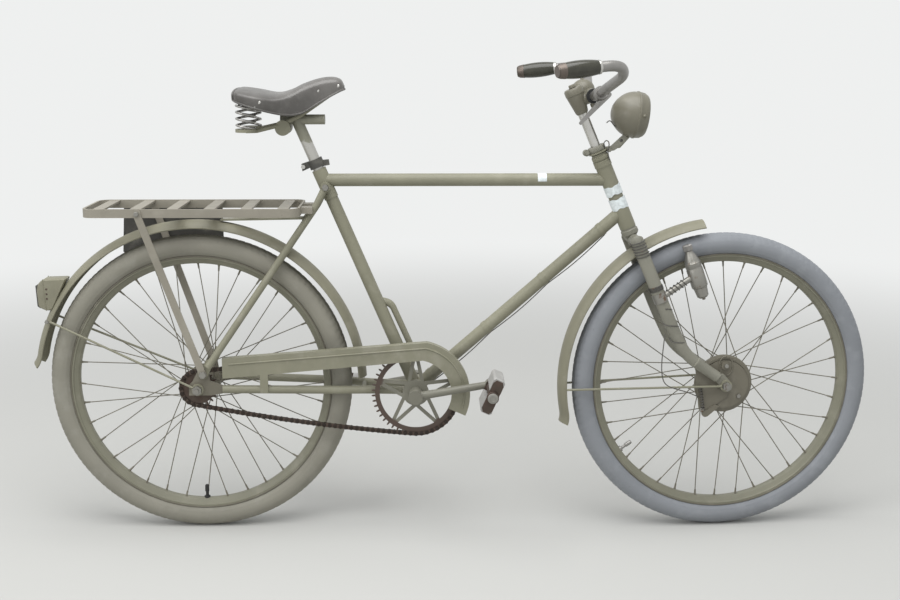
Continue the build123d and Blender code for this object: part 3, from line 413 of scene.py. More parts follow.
class Graph:
    """A material's node tree with short calls for the nodes that the finishes share."""

    def __init__(self, name: str) -> None:
        """Start an empty material with one surface shader.

        Args:
            name: The material's name.
        """
        self.material = bpy.data.materials.new(name)
        self.material.use_nodes = True
        self.tree = self.material.node_tree
        self.shader = self.tree.nodes["Principled BSDF"]
        self._coords = self.tree.nodes.new("ShaderNodeTexCoord")

    def add(self, kind: str, **inputs: object) -> bpy.types.Node:
        """Add a node and set or link its inputs by name.

        Args:
            kind: The node's type name without its ShaderNode prefix.
            inputs: Values or output sockets; underscores stand for spaces.

        Returns:
            The new node.
        """
        node = self.tree.nodes.new("ShaderNode" + kind)
        for key, value in inputs.items():
            self.feed(node, key.replace("_", " "), value)
        return node

    def feed(self, node: bpy.types.Node, key: str | int, value: object) -> None:
        """Link a socket to a node's input, or set the input's own value.

        Args:
            node: The node to feed.
            key: The input's name or index.
            value: An output socket, a number or a colour, which gets full alpha.
        """
        socket = node.inputs[key]
        if isinstance(value, Socket):
            self.tree.links.new(value, socket)
        elif socket.type == "RGBA" and len(value) == 3:
            socket.default_value = (*value, 1.0)
        else:
            socket.default_value = value

    def place(self, stretch: Point = (1, 1, 1)) -> Socket:
        """Object coordinates in metres, stretched along each axis."""
        return self.add("Mapping", Vector=self._coords.outputs["Object"], Scale=stretch).outputs[0]

    def along(self, axis: str) -> Socket:
        """One Object coordinate in metres."""
        return self.add("SeparateXYZ", Vector=self._coords.outputs["Object"]).outputs[axis]

    def noise(self, scale: float, detail: float = 4.0, rough: float = 0.55,
              stretch: Point = (1, 1, 1)) -> Socket:
        """Soft noise from zero to one, with its scale in cells for each metre."""
        node = self.add("TexNoise", Vector=self.place(stretch), Scale=scale, Detail=detail, Roughness=rough)
        return node.outputs["Fac"]

    def cells(self, scale: float) -> Socket:
        """Distance to the nearest of scattered points."""
        return self.add("TexVoronoi", Vector=self.place(), Scale=scale).outputs["Distance"]

    def step(self, value: Socket, low: float, high: float) -> Socket:
        """Smooth ramp from zero at low to one at high.

        Args:
            value: What it follows.
            low: Where it is zero.
            high: Where it is one.

        Returns:
            The ramp.
        """
        node = self.add("MapRange", Value=value)
        node.interpolation_type = "SMOOTHSTEP"
        self.feed(node, "From Min", low)
        self.feed(node, "From Max", high)
        return node.outputs[0]

    def span(self, value: Socket, low: float, high: float) -> Socket:
        """A value from zero to one, moved to run from low to high.

        Args:
            value: The value.
            low: Result at zero.
            high: Result at one.

        Returns:
            The moved value.
        """
        node = self.add("MapRange", Value=value)
        self.feed(node, "To Min", low)
        self.feed(node, "To Max", high)
        return node.outputs[0]

    def mix(self, share: object, first: object, second: object) -> Socket:
        """Blend of two colours: first (1 - share) + second share.

        Args:
            share: Share of the second colour.
            first: Colour at a share of zero.
            second: Colour at a share of one.

        Returns:
            The blended colour.
        """
        node = self.tree.nodes.new("ShaderNodeMix")
        node.data_type = "RGBA"
        for index, value in ((0, share), (6, first), (7, second)):
            self.feed(node, index, value)
        return node.outputs[2]

    def maths(self, kind: str, first: object, second: object = 0.0) -> Socket:
        """One arithmetic step.

        Args:
            kind: The step's name in Blender.
            first: First number or socket.
            second: Second number or socket.

        Returns:
            The result.
        """
        node = self.tree.nodes.new("ShaderNodeMath")
        node.operation = kind
        self.feed(node, 0, first)
        self.feed(node, 1, second)
        return node.outputs[0]

    def far_from(self, centre: Point) -> Socket:
        """Distance in metres of each point from a centre.

        Args:
            centre: The centre in the part's frame.

        Returns:
            The distance.
        """
        node = self.tree.nodes.new("ShaderNodeVectorMath")
        node.operation = "DISTANCE"
        self.feed(node, 0, self._coords.outputs["Object"])
        self.feed(node, 1, centre)
        return node.outputs["Value"]

    def bump(self, height: Socket, depth: float, strength: float = 1.0) -> None:
        """Give the shader a bump, over any bump that it has.

        Args:
            height: Height from zero to one.
            depth: The bump's depth in metres.
            strength: Share of it that shows.
        """
        node = self.add("Bump", Height=height, Distance=depth, Strength=strength)
        normal = self.shader.inputs["Normal"]
        if normal.is_linked:
            self.feed(node, "Normal", normal.links[0].from_socket)
        self.feed(self.shader, "Normal", node.outputs[0])

    def surface(self, **inputs: object) -> None:
        """Set or link the surface shader's inputs by name.

        Args:
            inputs: Values, colours or sockets; underscores stand for spaces.
        """
        for key, value in inputs.items():
            self.feed(self.shader, key.replace("_", " "), value)


def shade(colour: Colour, factor: float) -> Colour:
    """A colour made darker or paler."""
    return tuple(min(1.0, factor * channel) for channel in colour)


@dataclass(frozen=True)
class Paint:
    """Brushed field paint with dust and chips, bare below a height or rusty past a radius if one is given."""

    name: str
    colour: Colour
    coat: Coat = Coat.WORN
    rough: float = 0.5
    chip: Colour = (0.1, 0.075, 0.055)
    dust: Colour = (0.4, 0.38, 0.32)
    bare_below: float | None = None
    bare: Colour = (0.5, 0.49, 0.46)
    rusty_rim: tuple[Point, float] | None = None

    def make(self) -> bpy.types.Material:
        """Layers of tone, smears, dust and rust chips over one colour.

        Returns:
            The new material.
        """
        graph = Graph(self.name)
        patches = graph.step(graph.noise(7, 4), 0.3, 0.7)
        tone = graph.mix(patches, shade(self.colour, 0.9), shade(self.colour, 1.04))
        smears = graph.step(graph.noise(34, 6, 0.6), 0.5, 0.78)
        tone = graph.mix(graph.span(smears, 0.0, 0.3), tone, shade(self.colour, 0.72))
        tone = graph.mix(graph.span(graph.step(graph.noise(21, 4), 0.5, 0.8), 0.0, 0.3), tone, self.dust)
        reach = self.coat.value
        spots = graph.step(graph.noise(170, 4, 0.7), 0.72 - 0.07 * reach, 0.77 - 0.05 * reach)
        chips = graph.maths("MULTIPLY", spots, graph.step(graph.noise(16, 3), 0.5, 0.62))
        colour = graph.mix(chips, tone, self.chip)
        rough = graph.span(graph.noise(60, 4), self.rough - 0.1, self.rough + 0.14)
        graph.surface(Specular_IOR_Level=0.45)
        if self.bare_below is not None:
            edge = graph.maths("ADD", graph.along("Z"), graph.span(graph.noise(90, 4), -0.012, 0.012))
            bare = graph.step(edge, self.bare_below + 0.004, self.bare_below - 0.004)
            colour = graph.mix(bare, colour, self.bare)
            graph.surface(Metallic=graph.span(bare, 0.0, 0.85))
            rough = graph.maths("SUBTRACT", rough, graph.span(bare, 0.0, 0.2))
        if self.rusty_rim is not None:
            colour = graph.mix(self._rim_share(graph), colour, self.chip)
        graph.surface(Base_Color=colour, Roughness=rough)
        graph.bump(graph.noise(420, 3, stretch=(1, 1, 0.35)), 0.0002, 0.3)
        graph.bump(graph.maths("MULTIPLY", chips, -1.0), 0.0004, 0.6)
        return graph.material

    def _rim_share(self, graph: Graph) -> Socket:
        """Share of rust: one past a distance from a centre, in a thin slice of Y about it.

        Args:
            graph: The material's node tree.

        Returns:
            The share from zero to one.
        """
        centre, reach = self.rusty_rim
        slice_half = 0.005
        y = graph.along("Y")
        near = graph.step(y, centre[1] - slice_half - 0.001, centre[1] - slice_half)
        far = graph.step(y, centre[1] + slice_half + 0.001, centre[1] + slice_half)
        ragged = graph.maths("ADD", graph.far_from(centre), graph.span(graph.noise(70, 4), -0.006, 0.006))
        past = graph.step(ragged, reach - 0.003, reach + 0.003)
        return graph.maths("MULTIPLY", past, graph.maths("MULTIPLY", near, far))


@dataclass(frozen=True)
class Rubber:
    """Aged rubber, greyed, with faint scuffs and a fine grain."""

    name: str
    colour: Colour
    bloom: Colour
    rough: float = 0.68

    def make(self) -> bpy.types.Material:
        """Two tones of rubber, scuffs and a fine grain.

        Returns:
            The new material.
        """
        graph = Graph(self.name)
        patches = graph.step(graph.noise(9, 5), 0.3, 0.7)
        tone = graph.mix(patches, shade(self.colour, 0.94), shade(self.colour, 1.05))
        tone = graph.mix(graph.span(graph.step(graph.noise(26, 6), 0.5, 0.74), 0.0, 0.5), tone, self.bloom)
        marks = graph.step(graph.noise(75, 6, 0.7), 0.62, 0.74)
        tone = graph.mix(graph.span(marks, 0.0, 0.35), tone, shade(self.colour, 0.6))
        rough = graph.span(graph.noise(70, 3), self.rough - 0.1, self.rough + 0.12)
        graph.surface(Base_Color=tone, Roughness=rough, Specular_IOR_Level=0.35)
        graph.bump(graph.noise(700, 4, 0.65), 0.0002, 0.4)
        return graph.material


@dataclass(frozen=True)
class Steel:
    """Bare or plated steel, dulled, with stains."""

    name: str
    colour: Colour
    stain: Colour = (0.13, 0.085, 0.055)
    stained: float = 0.4
    rough: float = 0.34
    metal: float = 0.9

    def make(self) -> bpy.types.Material:
        """Metal with brown stains that are rough and not metallic.

        Returns:
            The new material.
        """
        graph = Graph(self.name)
        rust = graph.step(graph.noise(55, 6, 0.65), 0.68 - 0.3 * self.stained, 0.8 - 0.25 * self.stained)
        tone = graph.mix(graph.step(graph.noise(24, 4), 0.3, 0.7), shade(self.colour, 0.85), self.colour)
        graph.surface(
            Base_Color=graph.mix(rust, tone, self.stain),
            Metallic=graph.span(rust, self.metal, 0.1),
            Roughness=graph.span(rust, self.rough, 0.8),
        )
        graph.bump(graph.noise(900, 3), 0.0001, 0.3)
        graph.bump(rust, 0.0002, 0.4)
        return graph.material


@dataclass(frozen=True)
class Leather:
    """Old saddle leather with creases and a rubbed shine."""

    name: str
    colour: Colour
    worn: Colour

    def make(self) -> bpy.types.Material:
        """Pebbled grain, rubbed paler in soft patches.

        Returns:
            The new material.
        """
        graph = Graph(self.name)
        rubbed = graph.step(graph.noise(13, 5), 0.4, 0.75)
        tone = graph.mix(rubbed, self.colour, self.worn)
        tone = graph.mix(graph.span(graph.step(graph.noise(110, 5), 0.5, 0.7), 0, 0.3), tone, self.worn)
        rough = graph.span(graph.noise(40, 4), 0.24, 0.44)
        graph.surface(Base_Color=tone, Roughness=rough, Specular_IOR_Level=0.55)
        graph.bump(graph.cells(900), 0.0003, 0.35)
        graph.bump(graph.noise(26, 5, 0.6), 0.002, 0.25)
        return graph.material


@dataclass(frozen=True)
class Gloss:
    """Smooth moulded or glazed finish."""

    name: str
    colour: Colour
    rough: float = 0.18
    clear: float = 0.0
    grain: float = 60.0

    def make(self) -> bpy.types.Material:
        """Near even colour with faint smears in its shine.

        Returns:
            The new material.
        """
        graph = Graph(self.name)
        patches = graph.step(graph.noise(self.grain, 4), 0.35, 0.7)
        tone = graph.mix(patches, shade(self.colour, 0.78), self.colour)
        rough = graph.span(graph.noise(90, 4), self.rough * 0.7, self.rough * 1.6)
        graph.surface(Base_Color=tone, Roughness=rough, Transmission_Weight=self.clear, IOR=1.5)
        graph.bump(graph.noise(300, 2), 0.0001, 0.2)
        return graph.material


NODE_FINISH: dict[str, tuple[str, ...]] = {
    "field_paint": (
        "head_tube", "top_tube", "down_tube", "seat_tube", "bottom_bracket", "chain_stays", "seat_stays",
        "chain_guard", "headset", "saddle_frame", "lamp_bracket", "rear_mudguard_stays",
        "front_mudguard_stays",
    ),
    "drum_paint": ("brake_plate", "front_hub", "rear_hub", "dropouts"),
    "post_paint": ("seat_post",),
    "rack_paint": ("rack", "rack_struts", "rack_brackets"),
    "rim_paint": ("rear_rim", "front_rim"),
    # On rack_side_plate this near-black is partly painted shade: the far-side plate hangs in the rack's
    # shadow; the rest is dark paint.
    "dark_paint": ("rack_side_plate", "seat_post_bracket", "saddle_cantle"),
    "block_rubber": ("right_pedal_blocks", "left_pedal_blocks"),
    "brown_steel": ("chain", "rear_sprocket", "right_pedal", "left_pedal"),
    "crank_paint": ("crankset",),
    "dull_steel": ("rear_axle", "front_axle", "stay_bolts", "dynamo_bracket"),
    "spring_steel": ("saddle_springs",),
}


class Finishes:
    """All finishes by name, made once."""

    def __init__(self) -> None:
        """Make every finish."""
        kinds = (
            Paint("field_paint", (0.235, 0.228, 0.165)),
            Paint("guard_paint", (0.225, 0.215, 0.155)),
            Paint("fork_paint", (0.225, 0.22, 0.18)),
            Paint("lamp_paint", (0.165, 0.155, 0.118), Coat.CLEAN, rough=0.34),
            Paint("drum_paint", (0.15, 0.138, 0.105), Coat.WORN),
            Paint("post_paint", (0.25, 0.245, 0.19), bare_below=-0.105),
            Paint("rack_paint", (0.27, 0.25, 0.205), Coat.BATTERED),
            Paint("rim_paint", (0.2, 0.195, 0.145), Coat.WORN),
            Paint("dark_paint", (0.06, 0.058, 0.052), Coat.BATTERED),
            Paint("crank_paint", (0.18, 0.175, 0.14), Coat.BATTERED, rough=0.42, chip=(0.075, 0.052, 0.04),
                  rusty_rim=((0.292, -0.048, -0.671), 0.08)),
            Rubber("rear_rubber", (0.245, 0.235, 0.195), (0.3, 0.29, 0.25)),
            Rubber("front_rubber", (0.235, 0.247, 0.265), (0.3, 0.315, 0.335)),
            Rubber("block_rubber", (0.33, 0.325, 0.31), (0.5, 0.495, 0.48)),
            Rubber("washer_rubber", (0.02, 0.02, 0.02), (0.05, 0.05, 0.048)),
            Gloss("grip_black", (0.047, 0.046, 0.033), 0.15),
            Leather("saddle_leather", (0.085, 0.08, 0.074), (0.15, 0.143, 0.134)),
            Steel("brown_steel", (0.1, 0.08, 0.066), stain=(0.075, 0.05, 0.038), stained=0.95, rough=0.5),
            Steel("link_steel", (0.05, 0.04, 0.034), stain=(0.035, 0.025, 0.02), stained=0.6, rough=0.45),
            Steel("dull_steel", (0.3, 0.292, 0.265), stained=0.4, rough=0.4, metal=0.7),
            Steel("bar_steel", (0.33, 0.32, 0.305), stained=0.15, rough=0.38),
            Steel("bright_steel", (0.62, 0.61, 0.58), stained=0.05, rough=0.24),
            Steel("grip_cap", (0.15, 0.125, 0.108), stained=0.3, rough=0.4, metal=0.7),
            Steel("spring_steel", (0.42, 0.41, 0.39), stained=0.25, rough=0.32),
            Steel("wire_steel", (0.13, 0.125, 0.115), stained=0.4, rough=0.45, metal=0.5),
            Gloss("tail_red", (0.16, 0.015, 0.015), 0.12),
            Gloss("lamp_glass", (0.94, 0.95, 0.94), 0.05, clear=0.97),
            Gloss("white_tape", (0.8, 0.86, 0.87), 0.55, grain=140.0),
        )
        self.made = {kind.name: kind.make() for kind in kinds}

    def dress(self, nodes: dict[str, bpy.types.Object]) -> int:
        """Put its finish on each solid that shows.

        Args:
            nodes: The frame's objects by node name.

        Returns:
            How many solids were dressed.
        """
        pairs = [(node, name) for name, members in NODE_FINISH.items() for node in members]
        for node, name in pairs:
            self.put(nodes[node], name)
        return len(pairs)

    def put(self, piece: bpy.types.Object, name: str) -> None:
        """Leave a piece with one finish."""
        piece.data.materials.clear()
        piece.data.materials.append(self.made[name])


@dataclass
class Bench:
    """Puts finished pieces into the scene and ties them to their bodies."""

    finishes: Finishes
    made: int = 0

    def piece(self, name: str, shell: Shell, finish: str, body: str, slot: str,
              replaces: tuple[str, ...] = (), crease: float = 35.0) -> None:
        """Make one piece of a shell.

        Args:
            name: The piece's name.
            shell: Its grids.
            finish: The finish that it wears.
            body: The body that it rides on.
            slot: The record's material slot; not used.
            replaces: Solids that it stands for.
            crease: Angle in degrees past which an edge is sharp.
        """
        piece = bpy.data.objects.new(name, shell.mesh(name, body in STEERED, crease))
        self._enter(piece, finish, body)
        if replaces:
            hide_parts(*replaces)

    def lead(self, name: str, route: Array, radius: float, body: str) -> None:
        """Make a free wire: a NURBS curve with a route's points as its control points.

        Args:
            name: The piece's name.
            route: Control points in mm.
            radius: The wire's radius in mm.
            body: The body that it rides on.
        """
        points = PLAN.home(np.asarray(route, float), body in STEERED)
        curve = bpy.data.curves.new(name, "CURVE")
        curve.dimensions = "3D"
        curve.bevel_depth = radius / 1000.0
        curve.bevel_resolution = 2
        curve.use_fill_caps = True
        spline = curve.splines.new("NURBS")
        spline.points.add(len(points) - 1)
        spline.points.foreach_set("co", np.column_stack([points, np.ones(len(points))]).ravel())
        spline.order_u = 3
        spline.use_endpoint_u = True
        piece = bpy.data.objects.new(name, curve)
        self._enter(piece, "wire_steel", body)

    def _enter(self, piece: bpy.types.Object, finish: str, body: str) -> None:
        """Link, dress, tie and report one piece.

        Args:
            piece: The new object.
            finish: The finish that it wears.
            body: The body that it rides on.
        """
        bpy.context.scene.collection.objects.link(piece)
        self.finishes.put(piece, finish)
        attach(piece, body)
        self.made += 1
        LOG.info("%s on %s", piece.name, body)


@dataclass
class Flange:
    """One side of a hub where spokes are hooked, in mm from the wheel's middle."""

    radius: float
    y: float
    crossing: float


@dataclass
class Wheel:
    """Tyre with its tread, nipples, valve and rim beads of one wheel."""

    name: str
    centre: Array
    flanges: tuple[Flange, Flange]
    valve_angle: float
    rubber: str
    valve_finish: str
    spokes: int = 36
    hook_spread: float = 1.6
    hole_off: float = 3.5
    rim_half: float = 17.4
    tread_blocks: int = 132
    tread_deep: float = 0.9
    tread_half: float = 58.0

    def build(self, bench: Bench) -> None:
        """Make the wheel's pieces.

        Args:
            bench: Where the pieces are made.
        """
        body = self.name + "_wheel"
        tyre = Shell().add(self.tyre(), loop=True)
        bench.piece(self.name + "_tyre_tread", tyre, self.rubber, body, "tyre_rubber",
                    (self.name + "_tyre",), 50.0)
        bench.piece(self.name + "_nipples", Shell().add(self.nipples()), "drum_paint", body, "bare_steel")
        bench.piece(self.name + "_valve", self.valve(), self.valve_finish, body, "bare_steel")
        bench.piece(self.name + "_rim_beads", self.beads(), "drum_paint", body, "olive_paint")

    def tyre(self) -> Array:
        """Tyre wall and tread.

        The section is a circle from bead to bead with a raised line near each bead and at each shoulder.
        Within the tread's half width the radius falls by a wave round the wheel, slanted by the angle across
        it, and in five grooves.

        Returns:
            Points of shape (round, across, 3).
        """
        turns, across = 792, 60
        seat = math.degrees(math.acos(-(PLAN.wheel_r - PLAN.tyre_r - PLAN.rim_edge) / PLAN.tyre_r))
        theta = np.linspace(-seat, seat, across)[None]
        phi = np.linspace(0.0, 2.0 * np.pi, turns, endpoint=False)[:, None]
        wave = np.sin(self.tread_blocks * phi + np.radians(np.abs(theta)) * 3.2)
        inside = 1.0 / (1.0 + np.exp((np.abs(theta) - self.tread_half) / 2.0))
        cuts = 1.0 / (1.0 + np.exp(-(wave - 0.62) * 14.0))
        grooves = sum(np.exp(-(((np.abs(theta) - place) / 2.4) ** 2)) for place in (0.0, 20.0, 40.0))
        radius = PLAN.tyre_r - self.tread_deep * inside * np.clip(0.8 * cuts + 0.8 * grooves, 0.0, 1.0)
        radius = radius + 0.5 * np.exp(-(((np.abs(theta) - 118.0) / 2.6) ** 2))
        radius = radius + 0.3 * np.exp(-(((np.abs(theta) - 68.0) / 2.6) ** 2)) + 0.0 * phi
        out = PLAN.wheel_r - PLAN.tyre_r + radius * np.cos(np.radians(theta))
        y = radius * np.sin(np.radians(theta))
        points = np.stack([out * np.cos(phi), y + 0.0 * phi, out * np.sin(phi)], axis=-1)
        return points + self.centre

    def spoke_ends(self) -> tuple[Array, Array]:
        """Spokes at even steps round each flange, leaning back and forward in turn by the crossing angle.

        Returns:
            Rim ends of all spokes, and their directions to the hub.
        """
        count = self.spokes // 2
        rim, hub = [], []
        for flange in self.flanges:
            side = math.copysign(1.0, flange.y)
            number = np.arange(count)
            lean = np.where(number % 2 == 1, 1.0, -1.0)
            at_hub = np.radians(number * 360.0 / count + (0.0 if side < 0 else 180.0 / count))
            at_rim = at_hub + np.radians(lean * flange.crossing)
            bed = PLAN.rim_edge - PLAN.rim_depth
            hole = flange.radius
            y_hub = flange.y + self.hook_spread * lean
            hub.append(np.stack([hole * np.cos(at_hub), y_hub, hole * np.sin(at_hub)], axis=-1))
            y_rim = np.full(count, side * self.hole_off)
            rim.append(np.stack([bed * np.cos(at_rim), y_rim, bed * np.sin(at_rim)], axis=-1))
        rim_ends, hub_ends = np.concatenate(rim), np.concatenate(hub)
        return rim_ends + self.centre, unit(hub_ends - rim_ends)

    def nipples(self) -> Array:
        """Spoke nipples: a stepped profile turned about each spoke from the rim inwards.

        Returns:
            Points of shape (spokes, rows, sides, 3).
        """
        profile = ((0.0, -2.0), (2.9, -2.0), (2.9, 2.0), (2.2, 3.0), (2.0, 12.0), (1.3, 14.5), (0.0, 14.5))
        ends, ways = self.spoke_ends()
        return turned(profile, ends, ways, 8)

    def valve(self) -> Shell:
        """Valve with its nut and cap, turned about a line from the rim to the axle.

        Returns:
            The valve's shell.
        """
        profile = ((0.0, -1.0), (7.0, -1.0), (7.0, 3.5), (3.6, 4.0), (3.4, 14.0),
                   (4.8, 15.0), (4.8, 28.0), (3.0, 31.0), (0.0, 31.0))
        turn = math.radians(self.valve_angle)
        out = np.array([math.cos(turn), 0.0, math.sin(turn)])
        spot = self.centre + out * (PLAN.rim_edge - PLAN.rim_depth)
        return Shell().add(turned(profile, spot, -out, 12))

    def beads(self) -> Shell:
        """Thin round edges of the rim on both sides: a small circle turned about the axle.

        Returns:
            Both edges.
        """
        shell = Shell()
        for side in Side:
            y = side.value * self.rim_half
            path = arc_path(self.centre, PLAN.rim_edge - 1.2, 0.0, 360.0, 193, y)[:-1]
            shell.add(looped(path, circle(1.5, 8)), loop=True)
        return shell


@dataclass
class Mudguard:
    """Arched sheet about a wheel with wired edges and a curled tail."""

    name: str
    body: str
    centre: Array
    first: float
    last: float
    sheet: float = 1.6
    lip_r: float = 45.0
    lip_turn: float = 28.0
    wire: float = 2.1

    def build(self, bench: Bench) -> None:
        """Make the sheet with its edges.

        Args:
            bench: Where the pieces are made.
        """
        bench.piece(self.name + "_sheet", self.shape(), "guard_paint", self.body, "olive_paint",
                    (self.name,), 60.0)

    def path(self) -> Array:
        """Crown line: an arc about the axle, then a small arc about a centre outside it.

        Returns:
            Points from the sheet's front end to its curled tail.
        """
        steps = int(self.last - self.first)
        arc = arc_path(self.centre, PLAN.guard_r, self.first, self.last, steps)
        turn = math.radians(self.last)
        pivot = self.centre + (PLAN.guard_r + self.lip_r) * np.array([math.cos(turn), 0.0, math.sin(turn)])
        curl = turn - np.radians(np.linspace(0.0, self.lip_turn, 9)[1:])
        lip = pivot - self.lip_r * np.stack([np.cos(curl), np.zeros(8), np.sin(curl)], axis=-1)
        return np.vstack([arc, lip])

    def shape(self) -> Shell:
        """Section of two nested arcs carried along the crown line, with a round wire along each edge.

        Returns:
            The sheet and its wires.
        """
        half, rise = PLAN.guard_half, PLAN.guard_rise
        bow = math.asin(2 * half * rise / (half**2 + rise**2))
        radius = half / math.sin(bow)
        sweep = np.linspace(-bow, bow, 15)
        outer = np.stack([radius * np.sin(sweep), radius * (np.cos(sweep) - 1.0)], axis=-1)
        thin = radius - self.sheet
        inner = np.stack([thin * np.sin(sweep), thin * np.cos(sweep) - radius], axis=-1)[::-1]
        path = self.path()
        shell = Shell().add(carried(path, np.vstack([outer, inner]), LEFTWARD))
        for side in Side:
            edge = circle(self.wire, 8) + (side.value * (half - 0.6), -rise + 0.4)
            shell.add(carried(path, edge, LEFTWARD))
        return shell


@dataclass
class Fork:
    """Crown, blades with their sockets and ends, race and steerer."""

    crown_low: float = 378.0
    crown_high: float = 402.0
    blade_top_y: float = 47.0
    blade_low_y: float = 55.0
    bend_up: float = 185.0
    steerer_r: float = 12.7
    steerer_len: float = 200.0
    blade_wide: float = 15.5
    blade_thin: float = 10.5
    socket_r: float = 12.0
    end_in: float = 50.0
    end_t: float = 5.0

    def build(self, bench: Bench) -> None:
        """Make the fork as one piece.

        Args:
            bench: Where the pieces are made.
        """
        shell = self.crown()
        for side in Side:
            shell.add(self.blade(side.value))
            self.foot(shell, side.value)
        bench.piece("fork_blades", shell, "fork_paint", "steering", "olive_paint", ("fork",), 40.0)

    def crown(self) -> Shell:
        """Round cross bar with domed ends, the race above it and the steerer.

        Returns:
            A shell to which the blades are added.
        """
        middle = (self.crown_low + self.crown_high) / 2
        half = self.blade_top_y + 6
        bar = ((0.0, -half - 4), (9.0, -half - 3), (12.0, -half),
               (12.0, half), (9.0, half + 3), (0.0, half + 4))
        shell = Shell().add(turned(bar, PLAN.on_steer(middle), LEFTWARD, 24))
        race = ((0.0, 0.0), (15.0, 0.0), (19.5, 5.0), (19.5, 14.0),
                (17.5, 16.0), (17.5, 19.8), (self.steerer_r, 19.8), (0.0, 19.8))
        shell.add(turned(race, PLAN.on_steer(self.crown_high - 4), PLAN.steer_up, 28))
        tube = rod(self.steerer_r, 0.0, self.steerer_len)
        return shell.add(turned(tube, PLAN.on_steer(self.crown_low), PLAN.steer_up, 24))

    def blade(self, side: int) -> Array:
        """Oval carried down the blade's bent line, a little narrower towards its end.

        Args:
            side: Minus one for the right blade, one for the left.

        Returns:
            Points of shape (rows, ring, 3).
        """
        y_low = side * self.blade_low_y
        axle = PLAN.front_axle
        line = [PLAN.on_steer(self.crown_high - 2, 0.0, side * self.blade_top_y),
                PLAN.on_steer(self.bend_up, 0.0, y_low), PLAN.on_steer(105, 4.0, y_low),
                axle + (-21.0, y_low, 21.0)]
        path = rounded(np.array(line), 38.0, 9)
        dome = np.array([0.0, 1.2, 4.0, 8.0])
        path = np.vstack([path[0] + np.outer(dome, unit(path[1] - path[0])), path[1:]])
        thick = np.linspace(1.0, 0.8, len(path))
        thick[:4] *= (0.3, 0.62, 0.88, 1.0)
        thick = thick[:, None, None]
        oval = circle(self.blade_thin, 20, self.blade_wide / self.blade_thin)
        return carried(path, oval * thick, LEFTWARD)

    def foot(self, shell: Shell, side: int) -> None:
        """Socket round the blade's foot and the flat end that holds the axle.

        Args:
            shell: Where both are added.
            side: Minus one for the right blade, one for the left.
        """
        y = side * self.blade_low_y
        axle = PLAN.front_axle
        start, end = axle + (-72.0, y, 57.0), axle + (-19.0, y, 19.0)
        long = float(np.linalg.norm(end - start))
        r = self.socket_r
        socket = ((0.0, -1.5), (r - 1.5, -1.5), (r + 0.6, 0.0), (r + 0.6, 4.0),
                  (r, 5.0), (r, long - 2), (r - 2, long), (0.0, long))
        shell.add(turned(socket, start, end - start, 20))
        low, high = sorted((side * self.end_in, side * (self.end_in + self.end_t)))
        outline = np.array([(-26, 14), (-8, 30), (13, 6), (12, -10), (-4, -13)], float) + axle[[0, 2]]
        shell.add(plate(rounded(outline, 7.0, 4, closed=True), low, high))


